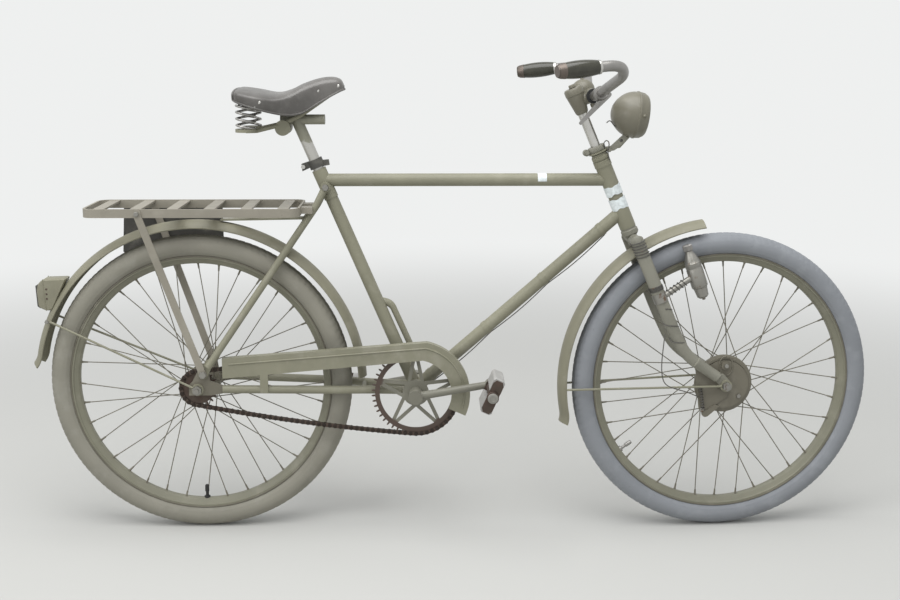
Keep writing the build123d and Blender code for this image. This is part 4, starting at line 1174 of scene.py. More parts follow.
@dataclass
class Bars:
    """Handlebar, grips, stem, bell and brake lever."""

    grip_len: float = 88.0
    grip_r: float = 18.0
    grip_end_r: float = 13.0
    bell_r: float = 26.0

    def build(self, bench: Bench) -> None:
        """Make the pieces above the headset.

        Args:
            bench: Where the pieces are made.
        """
        half = self.half_line()
        line = np.vstack([half[:0:-1] * (1, -1, 1), half])
        bar = Shell().add(carried(rounded(line, 34.0, 9), circle(PLAN.bar_r, 20)))
        bench.piece("handlebar_tube", bar, "bar_steel", "steering", "olive_paint", ("handlebar",))
        self.grips(bench)
        self.stem(bench)
        self.bell(bench)
        self.lever(bench)

    def half_line(self) -> Array:
        """Corner points of the bar's left half, from the clamp to its end."""
        offsets = np.array([(0, 0, 0), (2, 45, 0), (28, 207, 46), (8, 254, 66), (-119, 289, 53)], float)
        return PLAN.bar_centre + offsets

    def grips(self, bench: Bench) -> None:
        """Barrels turned about the bar's ends, each with a metal end cap and a bright collar.

        Args:
            bench: Where the pieces are made.
        """
        start, end = self.half_line()[-2:]
        way = unit(end - start)
        foot = end - way * (self.grip_len - 6)
        t = np.linspace(0.0, 1.0, 15)
        bulge = np.sin(np.pi * np.clip(t * 0.94 + 0.06, 0, 1)) ** 0.8
        swell = self.grip_end_r + (self.grip_r - self.grip_end_r) * bulge
        barrel = np.vstack([(0.0, 0.0), np.stack([swell, t * self.grip_len], axis=-1), (0.0, self.grip_len)])
        feet, ways = foot * MIRRORED, way * MIRRORED
        shell = Shell().add(turned(barrel, feet, ways, 28))
        bench.piece("grip_barrels", shell, "grip_black", "steering", "grip_black", ("grips",))
        long, r = self.grip_len, self.grip_end_r
        cap = ((0.0, long - 15.0), (r + 3.3, long - 15.0), (r + 1.8, long - 4.0),
               (r - 1.0, long + 1.5), (0.0, long + 1.5))
        collar = ((11.5, -5.0), (r + 1.2, -5.0), (r + 1.8, -2.5), (r + 1.2, 1.0), (11.5, 1.0))
        shell = Shell().add(turned(cap, feet, ways, 28))
        bench.piece("grip_caps", shell, "grip_cap", "steering", "bare_steel")
        shell = Shell().add(turned(collar, feet, ways, 24))
        bench.piece("grip_collars", shell, "bright_steel", "steering", "bare_steel")

    def stem(self, bench: Bench) -> None:
        """Quill, widening head with its top nut, and the bar's clamp with dark washers.

        Args:
            bench: Where the pieces are made.
        """
        up, centre = PLAN.steer_up, PLAN.bar_centre
        quill = Shell().add(turned(rod(11.1, 0.0, 110.0), PLAN.on_steer(600), up, 24))
        bench.piece("stem_quill", quill, "bright_steel", "steering", "olive_paint", ("stem",))
        head = ((0.0, 0.0), (12.5, 0.0), (14.5, 4.0), (20.5, 42.0), (20.5, 44.0),
                (21.5, 45.0), (21.5, 56.0), (19.0, 60.0), (0.0, 61.0))
        shell = Shell().add(turned(head, PLAN.on_steer(694), up, 28))
        arm = ((0.0, 0.0), (13.5, 0.0), (14.5, 30.0), (0.0, 30.0))
        base = PLAN.on_steer(PLAN.bar_up)
        shell.add(turned(arm, base, centre - base, 20))
        clamp = ((0.0, -21.0), (15.0, -21.0), (17.0, -19.0), (17.0, 19.0), (15.0, 21.0), (0.0, 21.0))
        shell.add(turned(clamp, centre, LEFTWARD, 28))
        shell.add(heads(HEX_HEAD, 7.5, 7.0, PLAN.on_steer(755), up))
        shell.add(heads(HEX_HEAD, 6.0, 9.0, centre + (2.0, 0.0, -16.0), -up))
        bench.piece("stem_head", shell, "lamp_paint", "steering", "olive_paint")
        washer = ((11.0, 21.0), (15.5, 21.0), (16.5, 22.5), (15.5, 25.0), (11.0, 25.0))
        spots = np.repeat(centre[None], 2, axis=0)
        shell = Shell().add(turned(washer, spots, BOTH_WAYS, 24))
        bench.piece("clamp_washers", shell, "washer_rubber", "steering", "dark_paint")

    def bell(self, bench: Bench) -> None:
        """Dome turned about an upright axis, with its rolled edge, foot and top screw.

        Args:
            bench: Where the pieces are made.
        """
        r = self.bell_r
        t = np.linspace(0.0, np.pi / 2, 9)
        dome = np.stack([r * np.cos(t), 0.95 * r * np.sin(t)], axis=-1)
        rim = ((0.0, -4.0), (r - 3, -4.0), (r + 0.8, -3.0), (r + 0.8, -0.5))
        spot = PLAN.bar_centre + (-12.0, 38.0, 12.0)
        shell = Shell().add(turned(np.vstack([rim, dome]), spot, (-0.12, 0.0, 1.0), 32))
        shell.add(turned(rod(9.0, -20.0, 0.0), spot, (0.0, 0.0, 1.0), 16))
        shell.add(heads(ROUND_HEAD, 4.5, 3.0, spot + (-3.0, 0.0, 0.94 * r), (-0.12, 0.0, 1.0), 12))
        bench.piece("bell_dome", shell, "lamp_paint", "steering", "olive_paint", ("bell",))

    def lever(self, bench: Bench) -> None:
        """Tapered hand lever hung from a split clamp on the bar.

        Args:
            bench: Where the pieces are made.
        """
        centre = PLAN.bar_centre
        corners = np.array([(19, 15), (31, 6), (29, 0), (-36, -62), (-41, -57), (6, -4)], float)
        outline = rounded(corners + centre[[0, 2]], 4.0, 4, closed=True)
        shell = Shell().add(plate(outline, -71.0, -65.5, 1.2))
        clamp = ((10.5, 0.0), (14.5, 0.0), (15.5, 2.0), (15.5, 18.0), (14.5, 20.0), (10.5, 20.0))
        shell.add(turned(clamp, centre + (4.0, -58.0, 3.0), (3.0, -20.0, 5.6), 24))
        shell.add(heads(ROUND_HEAD, 4.5, 4.0, centre + (20.0, -71.0, 7.0), RIGHTWARD, 12))
        shell.add(heads(HEX_HEAD, 5.0, 12.0, centre + (2.0, -68.0, -12.0), (-0.3, 0.0, -1.0)))
        bench.piece("brake_lever_blade", shell, "bar_steel", "steering", "bare_steel", ("brake_lever",))


@dataclass
class HeadLamp:
    """Pointed lamp bowl with its rim, reflector, bulb, glass and strap."""

    radius: float = 51.0
    deep: float = 55.0
    drop: float = 7.0
    spot: tuple[float, float] = (983.0, 955.0)
    nose_r: float = 8.0
    strap_face: float = -7.4

    def build(self, bench: Bench) -> None:
        """Make the lamp's pieces about its own axis.

        Args:
            bench: Where the pieces are made.
        """
        centre = np.array([self.spot[0], 0.0, self.spot[1]])
        fall = math.radians(self.drop)
        way = np.array([math.cos(fall), 0.0, -math.sin(fall)])
        r, deep = self.radius, self.deep
        t = np.linspace(0.0, 1.0, 12)
        swell = self.nose_r + (r - self.nose_r) * np.sin(t * np.pi / 2) ** 0.86
        back = np.stack([swell, -deep + (deep - 3.0) * t**1.35], axis=-1)
        rim = ((r + 1.4, -2.0), (r + 1.4, 1.0), (r + 0.4, 2.0), (r - 1.0, 13.0),
               (r - 5.0, 20.0), (r - 8.0, 22.5), (r - 9.5, 21.0))
        inner = ((r - 10.0, 16.0), (r - 4.0, 0.0), (0.0, -6.0))
        shell = Shell().add(turned(np.vstack([(0.0, -deep), back, rim, inner]), centre, way, 48))
        screw = centre + way * 9.0
        shell.add(heads(ROUND_HEAD, 4.0, 3.5, screw + (0.0, -r + 1.0, 0.0), RIGHTWARD, 12))
        shell.add(heads(ROUND_HEAD, 5.0, 4.0, centre - way * (deep - 1.0) + (4.0, 0.0, 0.0), -way, 12))
        bench.piece("headlamp_bowl", shell, "lamp_paint", "steering", "olive_paint", ("headlamp",), 40.0)
        u = np.linspace(1.0, 0.0, 12)
        dish = np.stack([(r - 10.5) * u, -4.0 + 19.0 * u**2], axis=-1)
        under = ((0.0, -5.0), (r - 10.5, 14.0))
        shell = Shell().add(turned(np.vstack([dish, under]), centre, way, 40))
        bulb = ((0.0, -4.0), (5.0, -4.0), (5.0, 3.0), (6.5, 8.0), (4.0, 12.5), (0.0, 14.0))
        shell.add(turned(bulb, centre, way, 16))
        bench.piece("headlamp_dish", shell, "bright_steel", "steering", "bare_steel")
        out = np.stack([(r - 9.2) * u, 18.5 + 9.0 * (1.0 - u**2)], axis=-1)
        back_face = out[::-1] - (0.0, 2.6)
        self.strap(bench)
        lens = Shell().add(turned(np.vstack([out, back_face]), centre, way, 40))
        bench.piece("headlamp_lens", lens, "lamp_glass", "steering", "lamp_glass", ("headlamp_glass",))

    def strap(self, bench: Bench) -> None:
        """Flat strap from the lamp's foot to the bracket, with a painted hole: a flat dark disc for the
        hole's shade.

        Args:
            bench: Where the pieces are made.
        """
        corners = np.array([(957, 914), (967, 902), (936, 877), (908, 873), (908, 879), (926, 886)], float)
        face = self.strap_face
        shell = Shell().add(plate(rounded(corners, 3.0, 4, closed=True), face, -4.6, 0.5))
        shell.add(heads(HEX_HEAD, 5.0, 4.0, (924.0, face, 878.0), RIGHTWARD))
        bench.piece("lamp_strap", shell, "fork_paint", "steering", "olive_paint")
        # Painted hole: a flat dark disc that stands in for the shade in the strap's hole.
        painted_hole = Shell().add(heads(ROUND_HEAD, 3.6, 0.6, (951.0, face, 899.0), RIGHTWARD, 14))
        bench.piece("lamp_strap_stud", painted_hole, "dark_paint", "steering", "dark_paint")


@dataclass
class TailLamp:
    """Rear lamp housing with its lens, bezel, seams and side studs."""

    spot: tuple[float, float] = (-298.0, 567.0)
    half: float = 22.0

    def build(self, bench: Bench) -> None:
        """Make the housing, lens, bezel and studs.

        Args:
            bench: Where the pieces are made.
        """
        at = np.array(self.spot)
        corners = np.array([(4, 25), (-48.6, 23.6), (-58.9, 13.7), (-62.3, -1.2), (-60.2, -39.6),
                            (-44.3, -47.3), (-30, -47)], float)
        outline = rounded(corners + at, 6.0, 5, closed=True)
        shell = Shell().add(plate(outline, -self.half, self.half, 2.4))
        seam = rounded(np.array([(-47, 24.5), (-46, -2), (-43, -47.5)], float) + at, 8.0, 4)
        for side in Side:
            path = np.column_stack([seam[:, 0], np.full(len(seam), side.value * self.half), seam[:, 1]])
            shell.add(carried(path, circle(1.1, 6)))
        bench.piece("tail_lamp_case", shell, "guard_paint", "frame", "olive_paint", ("tail_lamp",), 40.0)
        lens = np.array([(-61.5, -2), (-65.5, -4), (-63.8, -35), (-60.0, -38)], float) + at
        glass = Shell().add(plate(lens, -15.0, 15.0, 1.2))
        bench.piece("tail_lens_glass", glass, "tail_red", "frame", "lens_red", ("tail_lens",))
        frame = np.array([(-59, 13), (-65.3, 9), (-63.4, -38), (-57.5, -43)], float) + at
        shell = Shell()
        for low, high in ((-18.0, -15.2), (15.2, 18.0)):
            shell.add(plate(frame, low, high, 0.6))
        bench.piece("tail_bezel", shell, "dark_paint", "frame", "dark_paint")
        right = np.array([(-40.0, -self.half - 0.2, z) for z in (2.0, -9.0, -20.0)]) + (at[0], 0.0, at[1])
        spots = np.concatenate([right, right * (1, -1, 1)])
        axes = np.repeat(BOTH_WAYS[::-1], 3, axis=0)
        studs = Shell().add(heads(ROUND_HEAD, 2.3, 1.0, spots, axes, 12))
        bench.piece("tail_lamp_studs", studs, "brown_steel", "frame", "rusty_steel")


@dataclass
class Dynamo:
    """Bottle dynamo turned about its own slanted axis."""

    top: Point = (1097.0, -41.0, 668.0)
    foot: Point = (1137.0, -47.0, 552.0)

    def build(self, bench: Bench) -> None:
        """Make the bottle and its knurled roller.

        Args:
            bench: Where the pieces are made.
        """
        top = np.array(self.top)
        way = np.array(self.foot) - top
        body = ((0.0, 15.0), (8.0, 15.0), (9.0, 19.0), (12.5, 26.0), (16.5, 38.0), (17.5, 42.0),
                (18.5, 43.0), (18.5, 52.0), (17.8, 53.0), (17.8, 56.0), (18.5, 57.0), (18.5, 98.0),
                (17.0, 101.0), (15.5, 102.0), (13.0, 122.0), (9.0, 126.0), (0.0, 126.0))
        shell = Shell().add(turned(body, top, way, 36))
        shell.add(heads(HEX_HEAD, 4.0, 6.0, top + unit(way) * 125.0, way))
        bench.piece("dynamo_bottle", shell, "dull_steel", "steering", "olive_paint", ("dynamo",))
        roller = ((0.0, 0.0), (8.5, 0.0), (10.8, 2.0), (10.8, 13.0), (8.5, 15.0), (0.0, 15.0))
        shell = Shell().add(turned(roller, top, way, 48, 0.07))
        bench.piece("dynamo_roller", shell, "bar_steel", "steering", "bare_steel", crease=20.0)


@dataclass
class Drum:
    """Anchor plate, pressed ridge and fasteners on the brake plate."""

    face_y: float = -42.0

    def build(self, bench: Bench) -> None:
        """Make the pieces outside the brake plate.

        Args:
            bench: Where the pieces are made.
        """
        axle, face = PLAN.front_axle, self.face_y
        corners = np.array([(-71, 57), (-46, 52), (8, -12), (8, -30), (-50, -66), (-58, -60)], float)
        outline = rounded(corners + axle[[0, 2]], 8.0, 5, closed=True)
        shell = Shell().add(plate(outline, face - 2.4, face - 0.1, 0.5))
        turn = np.linspace(0.0, 2.0 * np.pi, 40, endpoint=False)
        drop = 15.0 * (1.0 - 0.42 * np.cos(turn))
        x = axle[0] + 2 + drop * np.sin(turn)
        z = axle[2] + 34 - 1.5 * drop * np.cos(turn)
        ridge = np.stack([x, np.full(40, face - 0.4), z], axis=-1)
        shell.add(looped(ridge, circle(1.6, 6)), loop=True)
        bench.piece("brake_anchor", shell, "drum_paint", "steering", "olive_paint")
        offsets = ((-52, face - 2.4, -58), (-60, face - 2.4, 48), (2, face - 5, 44), (34, face, -28))
        bolts = Shell().add(heads(HEX_HEAD, 5.5, 4.5, axle + np.array(offsets), RIGHTWARD))
        bench.piece("brake_bolts", bolts, "dull_steel", "steering", "bare_steel")


@dataclass
class Saddle:
    """Leather top stretched from nose to cantle, with a rolled skirt edge and rivets."""

    rows: tuple[tuple[float, float, float, float, float], ...] = (
        (104.0, 78.0, 1013.0, 10.0, 992.0),
        (116.0, 92.0, 1017.0, 14.0, 987.0),
        (150.0, 98.0, 1013.0, 18.0, 976.0),
        (192.0, 78.0, 1006.0, 18.0, 964.0),
        (222.0, 58.0, 1012.0, 19.0, 959.0),
        (250.0, 44.0, 1025.0, 18.0, 964.0),
        (284.0, 33.0, 1036.0, 17.0, 984.0),
        (312.0, 26.0, 1039.0, 15.0, 1000.0),
        (330.0, 19.0, 1034.0, 12.0, 1009.0),
        (338.0, 7.0, 1021.0, 6.0, 1012.0),
    )
    shoulder: float = 0.62
    leather: float = 4.0

    def build(self, bench: Bench) -> None:
        """Make the leather, its edge and its rivets.

        Args:
            bench: Where the pieces are made.
        """
        grid = self.top()
        shell = Shell().add(np.concatenate([grid, self.inset(grid)[:, ::-1]], axis=1))
        bench.piece("saddle_top", shell, "saddle_leather", "frame", "leather", ("saddle",), crease=60.0)
        edges = Shell()
        for column in (0, -1):
            edges.add(carried(grid[:, column], circle(2.6, 8)))
        edges.add(carried(grid[0], circle(2.6, 8)))
        bench.piece("saddle_edge", edges, "saddle_leather", "frame", "leather")
        self.rivets(bench)

    def top(self) -> Array:
        """Outside of the leather.

        Along its length each measure flows through the rows: x, half width, crown, drop and low edge. Across
        it, a quarter ellipse runs from the crown to the shoulder, and a nearly upright skirt hangs there.

        Returns:
            Points of shape (along, across, 3).
        """
        rows = flowing(np.array(self.rows), 8)
        x, half, crown, drop, low = (rows[:, i : i + 1] for i in range(5))
        v = np.linspace(-1.0, 1.0, 41)[None]
        over = np.clip(np.abs(v) / self.shoulder, 0.0, 1.0) * np.pi / 2
        hang = np.clip((np.abs(v) - self.shoulder) / (1.0 - self.shoulder), 0.0, 1.0)
        y = np.sign(v) * half * (np.sin(over) - 0.05 * hang**2)
        z = crown - drop * (1.0 - np.cos(over)) - (crown - drop - low) * hang
        return np.stack([x + 0.0 * v, y, z], axis=-1)

    def inset(self, grid: Array) -> Array:
        """Inside of the leather: the outside moved in along its own normals.

        Args:
            grid: Points of the outside.

        Returns:
            Points of the inside.
        """
        along, across = np.gradient(grid, axis=0), np.gradient(grid, axis=1)
        normal = unit(np.cross(along, across) + (0.0, 0.0, 1e-9))
        return grid - normal * self.leather

    def rivets(self, bench: Bench) -> None:
        """Rivets along the rear edge, on the flanks and at the nose.

        Args:
            bench: Where the pieces are made.
        """
        spots = [(282, 31.5, 1010), (162, 92, 988), (142, 95, 995), (152, 92, 980), (325, 20, 1020)]
        right = np.array(spots, float) * (1, -1, 1)
        both = np.concatenate([right, np.array(spots, float)])
        ways = np.concatenate([np.tile((0.0, -1.0, 0.12), (5, 1)), np.tile((0.0, 1.0, 0.12), (5, 1))])
        shell = Shell().add(heads(ROUND_HEAD, 4.2, 2.2, both, ways, 14))
        rear = np.array([(104.5, y, 1003.0 - 0.0009 * y * y) for y in (-60.0, -30.0, 0.0, 30.0, 60.0)])
        shell.add(heads(ROUND_HEAD, 4.2, 2.2, rear, (-1.0, 0.0, 0.5), 14))
        bench.piece("saddle_rivets", shell, "bright_steel", "frame", "bare_steel")


@dataclass
class FrameFittings:
    """Bridges, brace, bolts, guard bead, tape and label on the frame, and the rings of the headset."""

    guard_face: float = -64.5
    guard_r: float = 110.0
    bridge_r: float = 6.0
    tape_r: float = 18.9

    def build(self, bench: Bench) -> None:
        """Make the frame's small pieces.

        Args:
            bench: Where the pieces are made.
        """
        self.bridges(bench)
        self.bead(bench)
        self.bolts(bench)
        self.tape(bench)
        self.headset(bench)

    def bridges(self, bench: Bench) -> None:
        """Tubes between the stays, the strap to the rear mudguard, and the bent bar on the seat tube.

        Args:
            bench: Where the pieces are made.
        """
        shell = Shell()
        for half, spot in ((24.0, (246.0, 0.0, 727.0)), (22.0, (372.0, 0.0, 336.0))):
            shell.add(turned(rod(self.bridge_r, -half, half), spot, LEFTWARD, 14))
        strap = ((56, 721.5), (130, 722.5), (246, 724.5), (246, 729.5), (130, 727), (56, 724.5))
        shell.add(plate(np.array(strap), -10.0, 10.0, 0.8))
        bench.piece("stay_bridges", shell, "field_paint", "frame", "olive_paint")
        high, foot = PLAN.on_seat(531.0, 6.0), PLAN.on_seat(424.0, 6.0)
        line = np.array([high + (4, 0, 4), high + (29, 0, -2), foot + (31, 0, -2), foot + (4, 0, -8)])
        path = rounded(line, 13.0, 9)
        taper = np.linspace(9.0, 5.5, len(path))[:, None, None]
        brace = Shell().add(carried(path, circle(1.0, 14) * taper, LEFTWARD))
        bench.piece("seat_brace", brace, "field_paint", "frame", "olive_paint")

    def bead(self, bench: Bench) -> None:
        """Pressed line along the chain guard: a round ridge half sunk in its face.

        Args:
            bench: Where the pieces are made.
        """
        x, z = PLAN.bracket
        centre = np.array([x, 0.0, z])
        arc = arc_path(centre, self.guard_r, 78.0, -18.0, 40, self.guard_face)
        straight = np.linspace((72.0, self.guard_face, 404.0), arc[0], 30)[:-1]
        shell = Shell().add(carried(np.vstack([straight, arc]), circle(2.0, 8), LEFTWARD))
        bench.piece("chain_guard_bead", shell, "field_paint", "frame", "olive_paint", crease=60.0)

    def bolts(self, bench: Bench) -> None:
        """Nuts on both sides, from a table of the left one's place, radius and height.

        Args:
            bench: Where the pieces are made.
        """
        stay = PLAN.on_seat(798.0)
        rows = (
            ((stay[0], 28.0, stay[2]), 8.0, 6.0),
            ((-112.0, 88.0, 748.0), 6.0, 4.0),
            ((14.0, 68.0, 381.0), 9.0, 7.0),
            ((-338.0, 33.0, 496.0), 5.0, 3.5),
        )
        shell = Shell()
        for spot, radius, high in rows:
            shell.add(heads(HEX_HEAD, radius, high, np.array(spot) * MIRRORED, BOTH_WAYS))
        bench.piece("frame_bolts", shell, "dull_steel", "frame", "bare_steel")
        clip = PLAN.on_seat(848.0, 8.0) + (-28.0, 0.0, -6.0)
        nuts = Shell().add(heads(HEX_HEAD, 5.5, 5.0, clip * MIRRORED, BOTH_WAYS))
        bench.piece("post_clamp_nuts", nuts, "bright_steel", "frame", "bare_steel")

    def tape(self, bench: Bench) -> None:
        """Two bands of white tape round the head tube and a small blank label on the top tube.

        Args:
            bench: Where the pieces are made.
        """
        shell = Shell()
        turn = np.linspace(0.0, 2.0 * np.pi, 48, endpoint=False)[None, :, None]
        rag = 1.6 * np.sin(3.0 * turn) + 1.1 * np.sin(7.0 * turn + 1.0)
        ring = (self.tape_r + np.array([-0.7, 0.0, 0.2, -0.5]))[:, None, None]
        around = np.cos(turn) * PLAN.steer_fore + np.sin(turn) * np.array([0.0, 1.0, 0.0])
        for low, high in ((499.0, 520.0), (465.0, 490.0)):
            edge = np.array([(low, 1.0), (low, 1.0), (high, -0.7), (high, -0.7)])
            rise = edge[:, :1, None] + edge[:, 1:, None] * rag
            shell.add(PLAN.on_steer(0.0) + rise * PLAN.steer_up + ring * around, loop=True)
        bench.piece("head_tape", shell, "white_tape", "frame", "olive_paint")
        turn = np.radians(np.linspace(97.0, 190.0, 14))
        r_out, r_in = PLAN.tube_r + 0.5, PLAN.tube_r + 0.05
        arc = np.stack([np.cos(turn), -np.sin(turn)], axis=-1)
        ring = np.concatenate([r_out * arc, (r_in * arc)[::-1]])
        path = np.array([(766.0, 0.0, 812.0), (776.0, 0.0, 812.0), (786.0, 0.0, 812.0)])
        label = Shell().add(carried(path, ring, LEFTWARD))
        bench.piece("tube_label", label, "white_tape", "frame", "olive_paint", crease=60.0)

    def headset(self, bench: Bench) -> None:
        """Knurled lock ring and split collar with its bolted ear, turned about the steering axis.

        Args:
            bench: Where the pieces are made.
        """
        up = PLAN.steer_up
        top = PLAN.head_top
        ring = ((13.0, 15.0), (18.4, 15.0), (19.0, 16.5), (19.0, 24.0), (18.4, 25.5), (13.0, 25.5))
        shell = Shell().add(turned(ring, PLAN.on_steer(top), up, 64, 0.05))
        bench.piece("headset_ring", shell, "field_paint", "steering", "olive_paint", crease=20.0)
        band = ((12.9, 36.5), (19.0, 36.5), (20.0, 38.0), (20.0, 46.0), (19.0, 47.5), (12.9, 47.5))
        shell = Shell().add(turned(band, PLAN.on_steer(top), up, 32))
        ear = PLAN.on_steer(top + 42.0, -25.0)
        lug = ((0.0, -8.0), (7.0, -8.0), (7.5, -6.0), (7.5, 6.0), (7.0, 8.0), (0.0, 8.0))
        shell.add(turned(lug, ear, LEFTWARD, 18))
        shell.add(heads(HEX_HEAD, 5.0, 4.5, ear - (0.0, 8.0, 0.0), RIGHTWARD))
        bench.piece("steerer_collar", shell, "fork_paint", "steering", "olive_paint")


@dataclass
class Wires:
    """Lamp wire tied along the frame and fork, and its free ends."""

    radius: float = 1.2

    def build(self, bench: Bench) -> None:
        """Make the tied wires and the free leads.

        Args:
            bench: Where the pieces are made.
        """
        self.ties(bench)
        loop = ((918, -6, 872), (912, -14, 884), (909, -16, 893), (914, -14, 900), (921, -12, 898),
                (923, -12, 889), (919, -13, 880), (921, -14, 866), (924, -15, 856))
        bench.lead("lamp_lead", np.array(loop), self.radius, "steering")
        curl = ((945, -8, 925), (938, -10, 928), (931, -11, 934), (926, -11, 942), (920, -11, 943),
                (916, -11, 938))
        bench.lead("lamp_tail", np.array(curl), self.radius, "steering")
        hang = ((1047, -67, 470), (1044, -68, 440), (1041, -68, 405), (1043, -67, 372), (1052, -64, 352),
                (1075, -58, 341), (1110, -50, 330), (1134, -46, 318))
        bench.lead("drum_lead", np.array(hang), self.radius, "steering")

    def ties(self, bench: Bench) -> None:
        """Wire clipped under the down tube, turns wound round a blade and the dynamo's arm, and a spring.

        Args:
            bench: Where the pieces are made.
        """
        head, foot = PLAN.on_steer(457.0), np.array([PLAN.bracket[0], 0.0, PLAN.bracket[1]])
        t = np.linspace(0.1, 0.93, 60)[:, None]
        under = unit(np.cross(unit(foot - head), LEFTWARD))
        under = under * -np.sign(under[2])
        sag = PLAN.tube_r + 0.6 + 4.0 * np.abs(np.sin((t - 0.1) / 0.83 * np.pi * 3.0))
        path = head + (foot - head) * t + under * sag + (0.0, -3.0, 0.0)
        shell = Shell().add(carried(path, circle(self.radius, 8), LEFTWARD))
        bands = head + (foot - head) * np.array([0.1, 0.377, 0.653, 0.925])[:, None]
        r_in, r_out = PLAN.tube_r - 1, PLAN.tube_r + 1.2
        ring = ((r_in, -5.0), (r_out, -5.0), (r_out, 5.0), (r_in, 5.0))
        clips = Shell().add(turned(ring, bands, foot - head, 24))
        bench.piece("wire_clips", clips, "field_paint", "frame", "olive_paint")
        bench.piece("tube_wire", shell, "wire_steel", "frame", "dark_paint")
        wound = Shell()
        for low, high, turns in ((268.0, 280.0, 4.0), (350.0, 390.0, 6.0), (120.0, 225.0, 2.5)):
            wound.add(self.winding(low, high, turns))
        wound.add(self.coil(np.array([1056.0, -47.6, 559.3]), np.array([1096.0, -46.6, 585.5]), 8.2, 5.0))
        axle = PLAN.front_axle
        wound.add(self.coil(axle + (-58.0, -47.5, -2.0), axle + (-49.0, -47.5, -58.0), 3.6, 9.0))
        bench.piece("fork_windings", wound, "wire_steel", "steering", "dark_paint")

    def winding(self, low: float, high: float, turns: float) -> Array:
        """Helix round the right blade's oval between two heights along the steering axis.

        Args:
            low: Height of its first end.
            high: Height of its last end.
            turns: Turns between them.

        Returns:
            Points of shape (rows, ring, 3).
        """
        fork = Fork()
        t = np.linspace(0.0, 1.0, int(28 * turns))
        up = low + (high - low) * t
        share = np.clip((fork.crown_high + 6 - up) / (fork.crown_high + 6 - fork.bend_up), 0.0, 1.0)
        y = -(fork.blade_top_y + (fork.blade_low_y - fork.blade_top_y) * share)
        turn = 2.0 * np.pi * turns * t
        slim = 1.0 - 0.2 * share * 0.75
        across = (fork.blade_thin * slim + self.radius) * np.cos(turn)
        fore = (fork.blade_wide * slim + self.radius) * np.sin(turn)
        foot = PLAN.on_steer(0.0)
        path = foot + up[:, None] * PLAN.steer_up + fore[:, None] * PLAN.steer_fore
        path = path + np.column_stack([np.zeros(len(t)), y + across, np.zeros(len(t))])
        return carried(path, circle(self.radius, 6))

    def coil(self, start: Array, end: Array, reach: float, turns: float) -> Array:
        """Helix of one radius round the line between two points.

        Args:
            start: First end of the line.
            end: Last end of the line.
            reach: The helix's radius.
            turns: Its turns.

        Returns:
            Points of shape (rows, ring, 3).
        """
        t = np.linspace(0.0, 1.0, int(20 * turns))[:, None]
        side = np.array([0.0, 1.0, 0.0])
        over = unit(np.cross(end - start, side))
        turn = 2.0 * np.pi * turns * t
        path = start + (end - start) * t + reach * (np.cos(turn) * side + np.sin(turn) * over)
        return carried(path, circle(self.radius, 6))


@dataclass
class ChainDress:
    """Bosses on both faces of the chain, one at each pin."""

    pitch: float = 12.7
    ring_teeth: int = 48
    cog_teeth: int = 20
    line: float = 48.0
    half: float = 4.1
    sag: float = 7.0

    def build(self, bench: Bench) -> None:
        """Make the bosses on both faces of the chain.

        Args:
            bench: Where the pieces are made.
        """
        pins = self.pins()
        spots = np.column_stack([pins[:, 0], np.full(len(pins), -self.line), pins[:, 1]])
        boss = ((0.0, 0.0), (5.0, 0.0), (5.0, 1.1), (4.3, 1.5), (2.6, 1.5), (2.6, 2.3), (0.0, 2.5))
        shell = Shell()
        for way in (-1.0, 1.0):
            feet = spots + (0.0, way * (self.half - 1.1), 0.0)
            shell.add(turned(boss, feet, (0.0, way, 0.0), 12))
        bench.piece("chain_bosses", shell, "link_steel", "frame", "rusty_steel")

    def pins(self) -> Array:
        """Pin centres: arcs of whole tooth steps on both wheels, and evenly spread runs between them.

        Returns:
            Rows of (x, z), an even number of them.
        """
        x, z = PLAN.bracket
        rise = z - PLAN.wheel_r
        ring_r = self.pitch / (2 * math.sin(math.pi / self.ring_teeth))
        cog_r = self.pitch / (2 * math.sin(math.pi / self.cog_teeth))
        lean, wrap = math.atan2(rise, x), math.asin((ring_r - cog_r) / math.hypot(x, rise))
        leave = lean + math.pi / 2 + wrap
        ring_step, cog_step = 2 * math.pi / self.ring_teeth, 2 * math.pi / self.cog_teeth
        first = math.ceil((lean - math.pi / 2 - wrap) / ring_step)
        on_ring = np.arange(first, math.floor(leave / ring_step) + 1) * ring_step
        low_cog = math.floor((lean + 3 * math.pi / 2 - wrap) / cog_step)
        on_cog = np.arange(math.ceil(leave / cog_step), low_cog + 1) * cog_step
        ring = np.array([x, z]) + ring_r * np.stack([np.cos(on_ring), np.sin(on_ring)], -1)
        cog = np.array([0.0, PLAN.wheel_r]) + cog_r * np.stack([np.cos(on_cog), np.sin(on_cog)], -1)
        upper = self.run(ring[-1], cog[0], 0.0, 0)
        odd = (len(ring) + len(upper) + len(cog)) % 2
        return np.vstack([ring, upper, cog, self.run(cog[-1], ring[0], self.sag, odd)])

    def run(self, start: Array, end: Array, sag: float, odd: int) -> Array:
        """Pins strictly between two others, on a shallow parabola.

        Args:
            start: The pin before the run.
            end: The pin after it.
            sag: Depth of the parabola.
            odd: One for an odd number of pins, zero for an even one.

        Returns:
            Rows of (x, z).
        """
        share = float(np.linalg.norm(end - start)) / self.pitch
        links = round(share)
        if (links - 1) % 2 != odd:
            links += 1 if share > links else -1
        t = np.arange(1, links)[:, None] / links
        return start + (end - start) * t - np.array([0.0, 4.0 * sag]) * t * (1.0 - t)


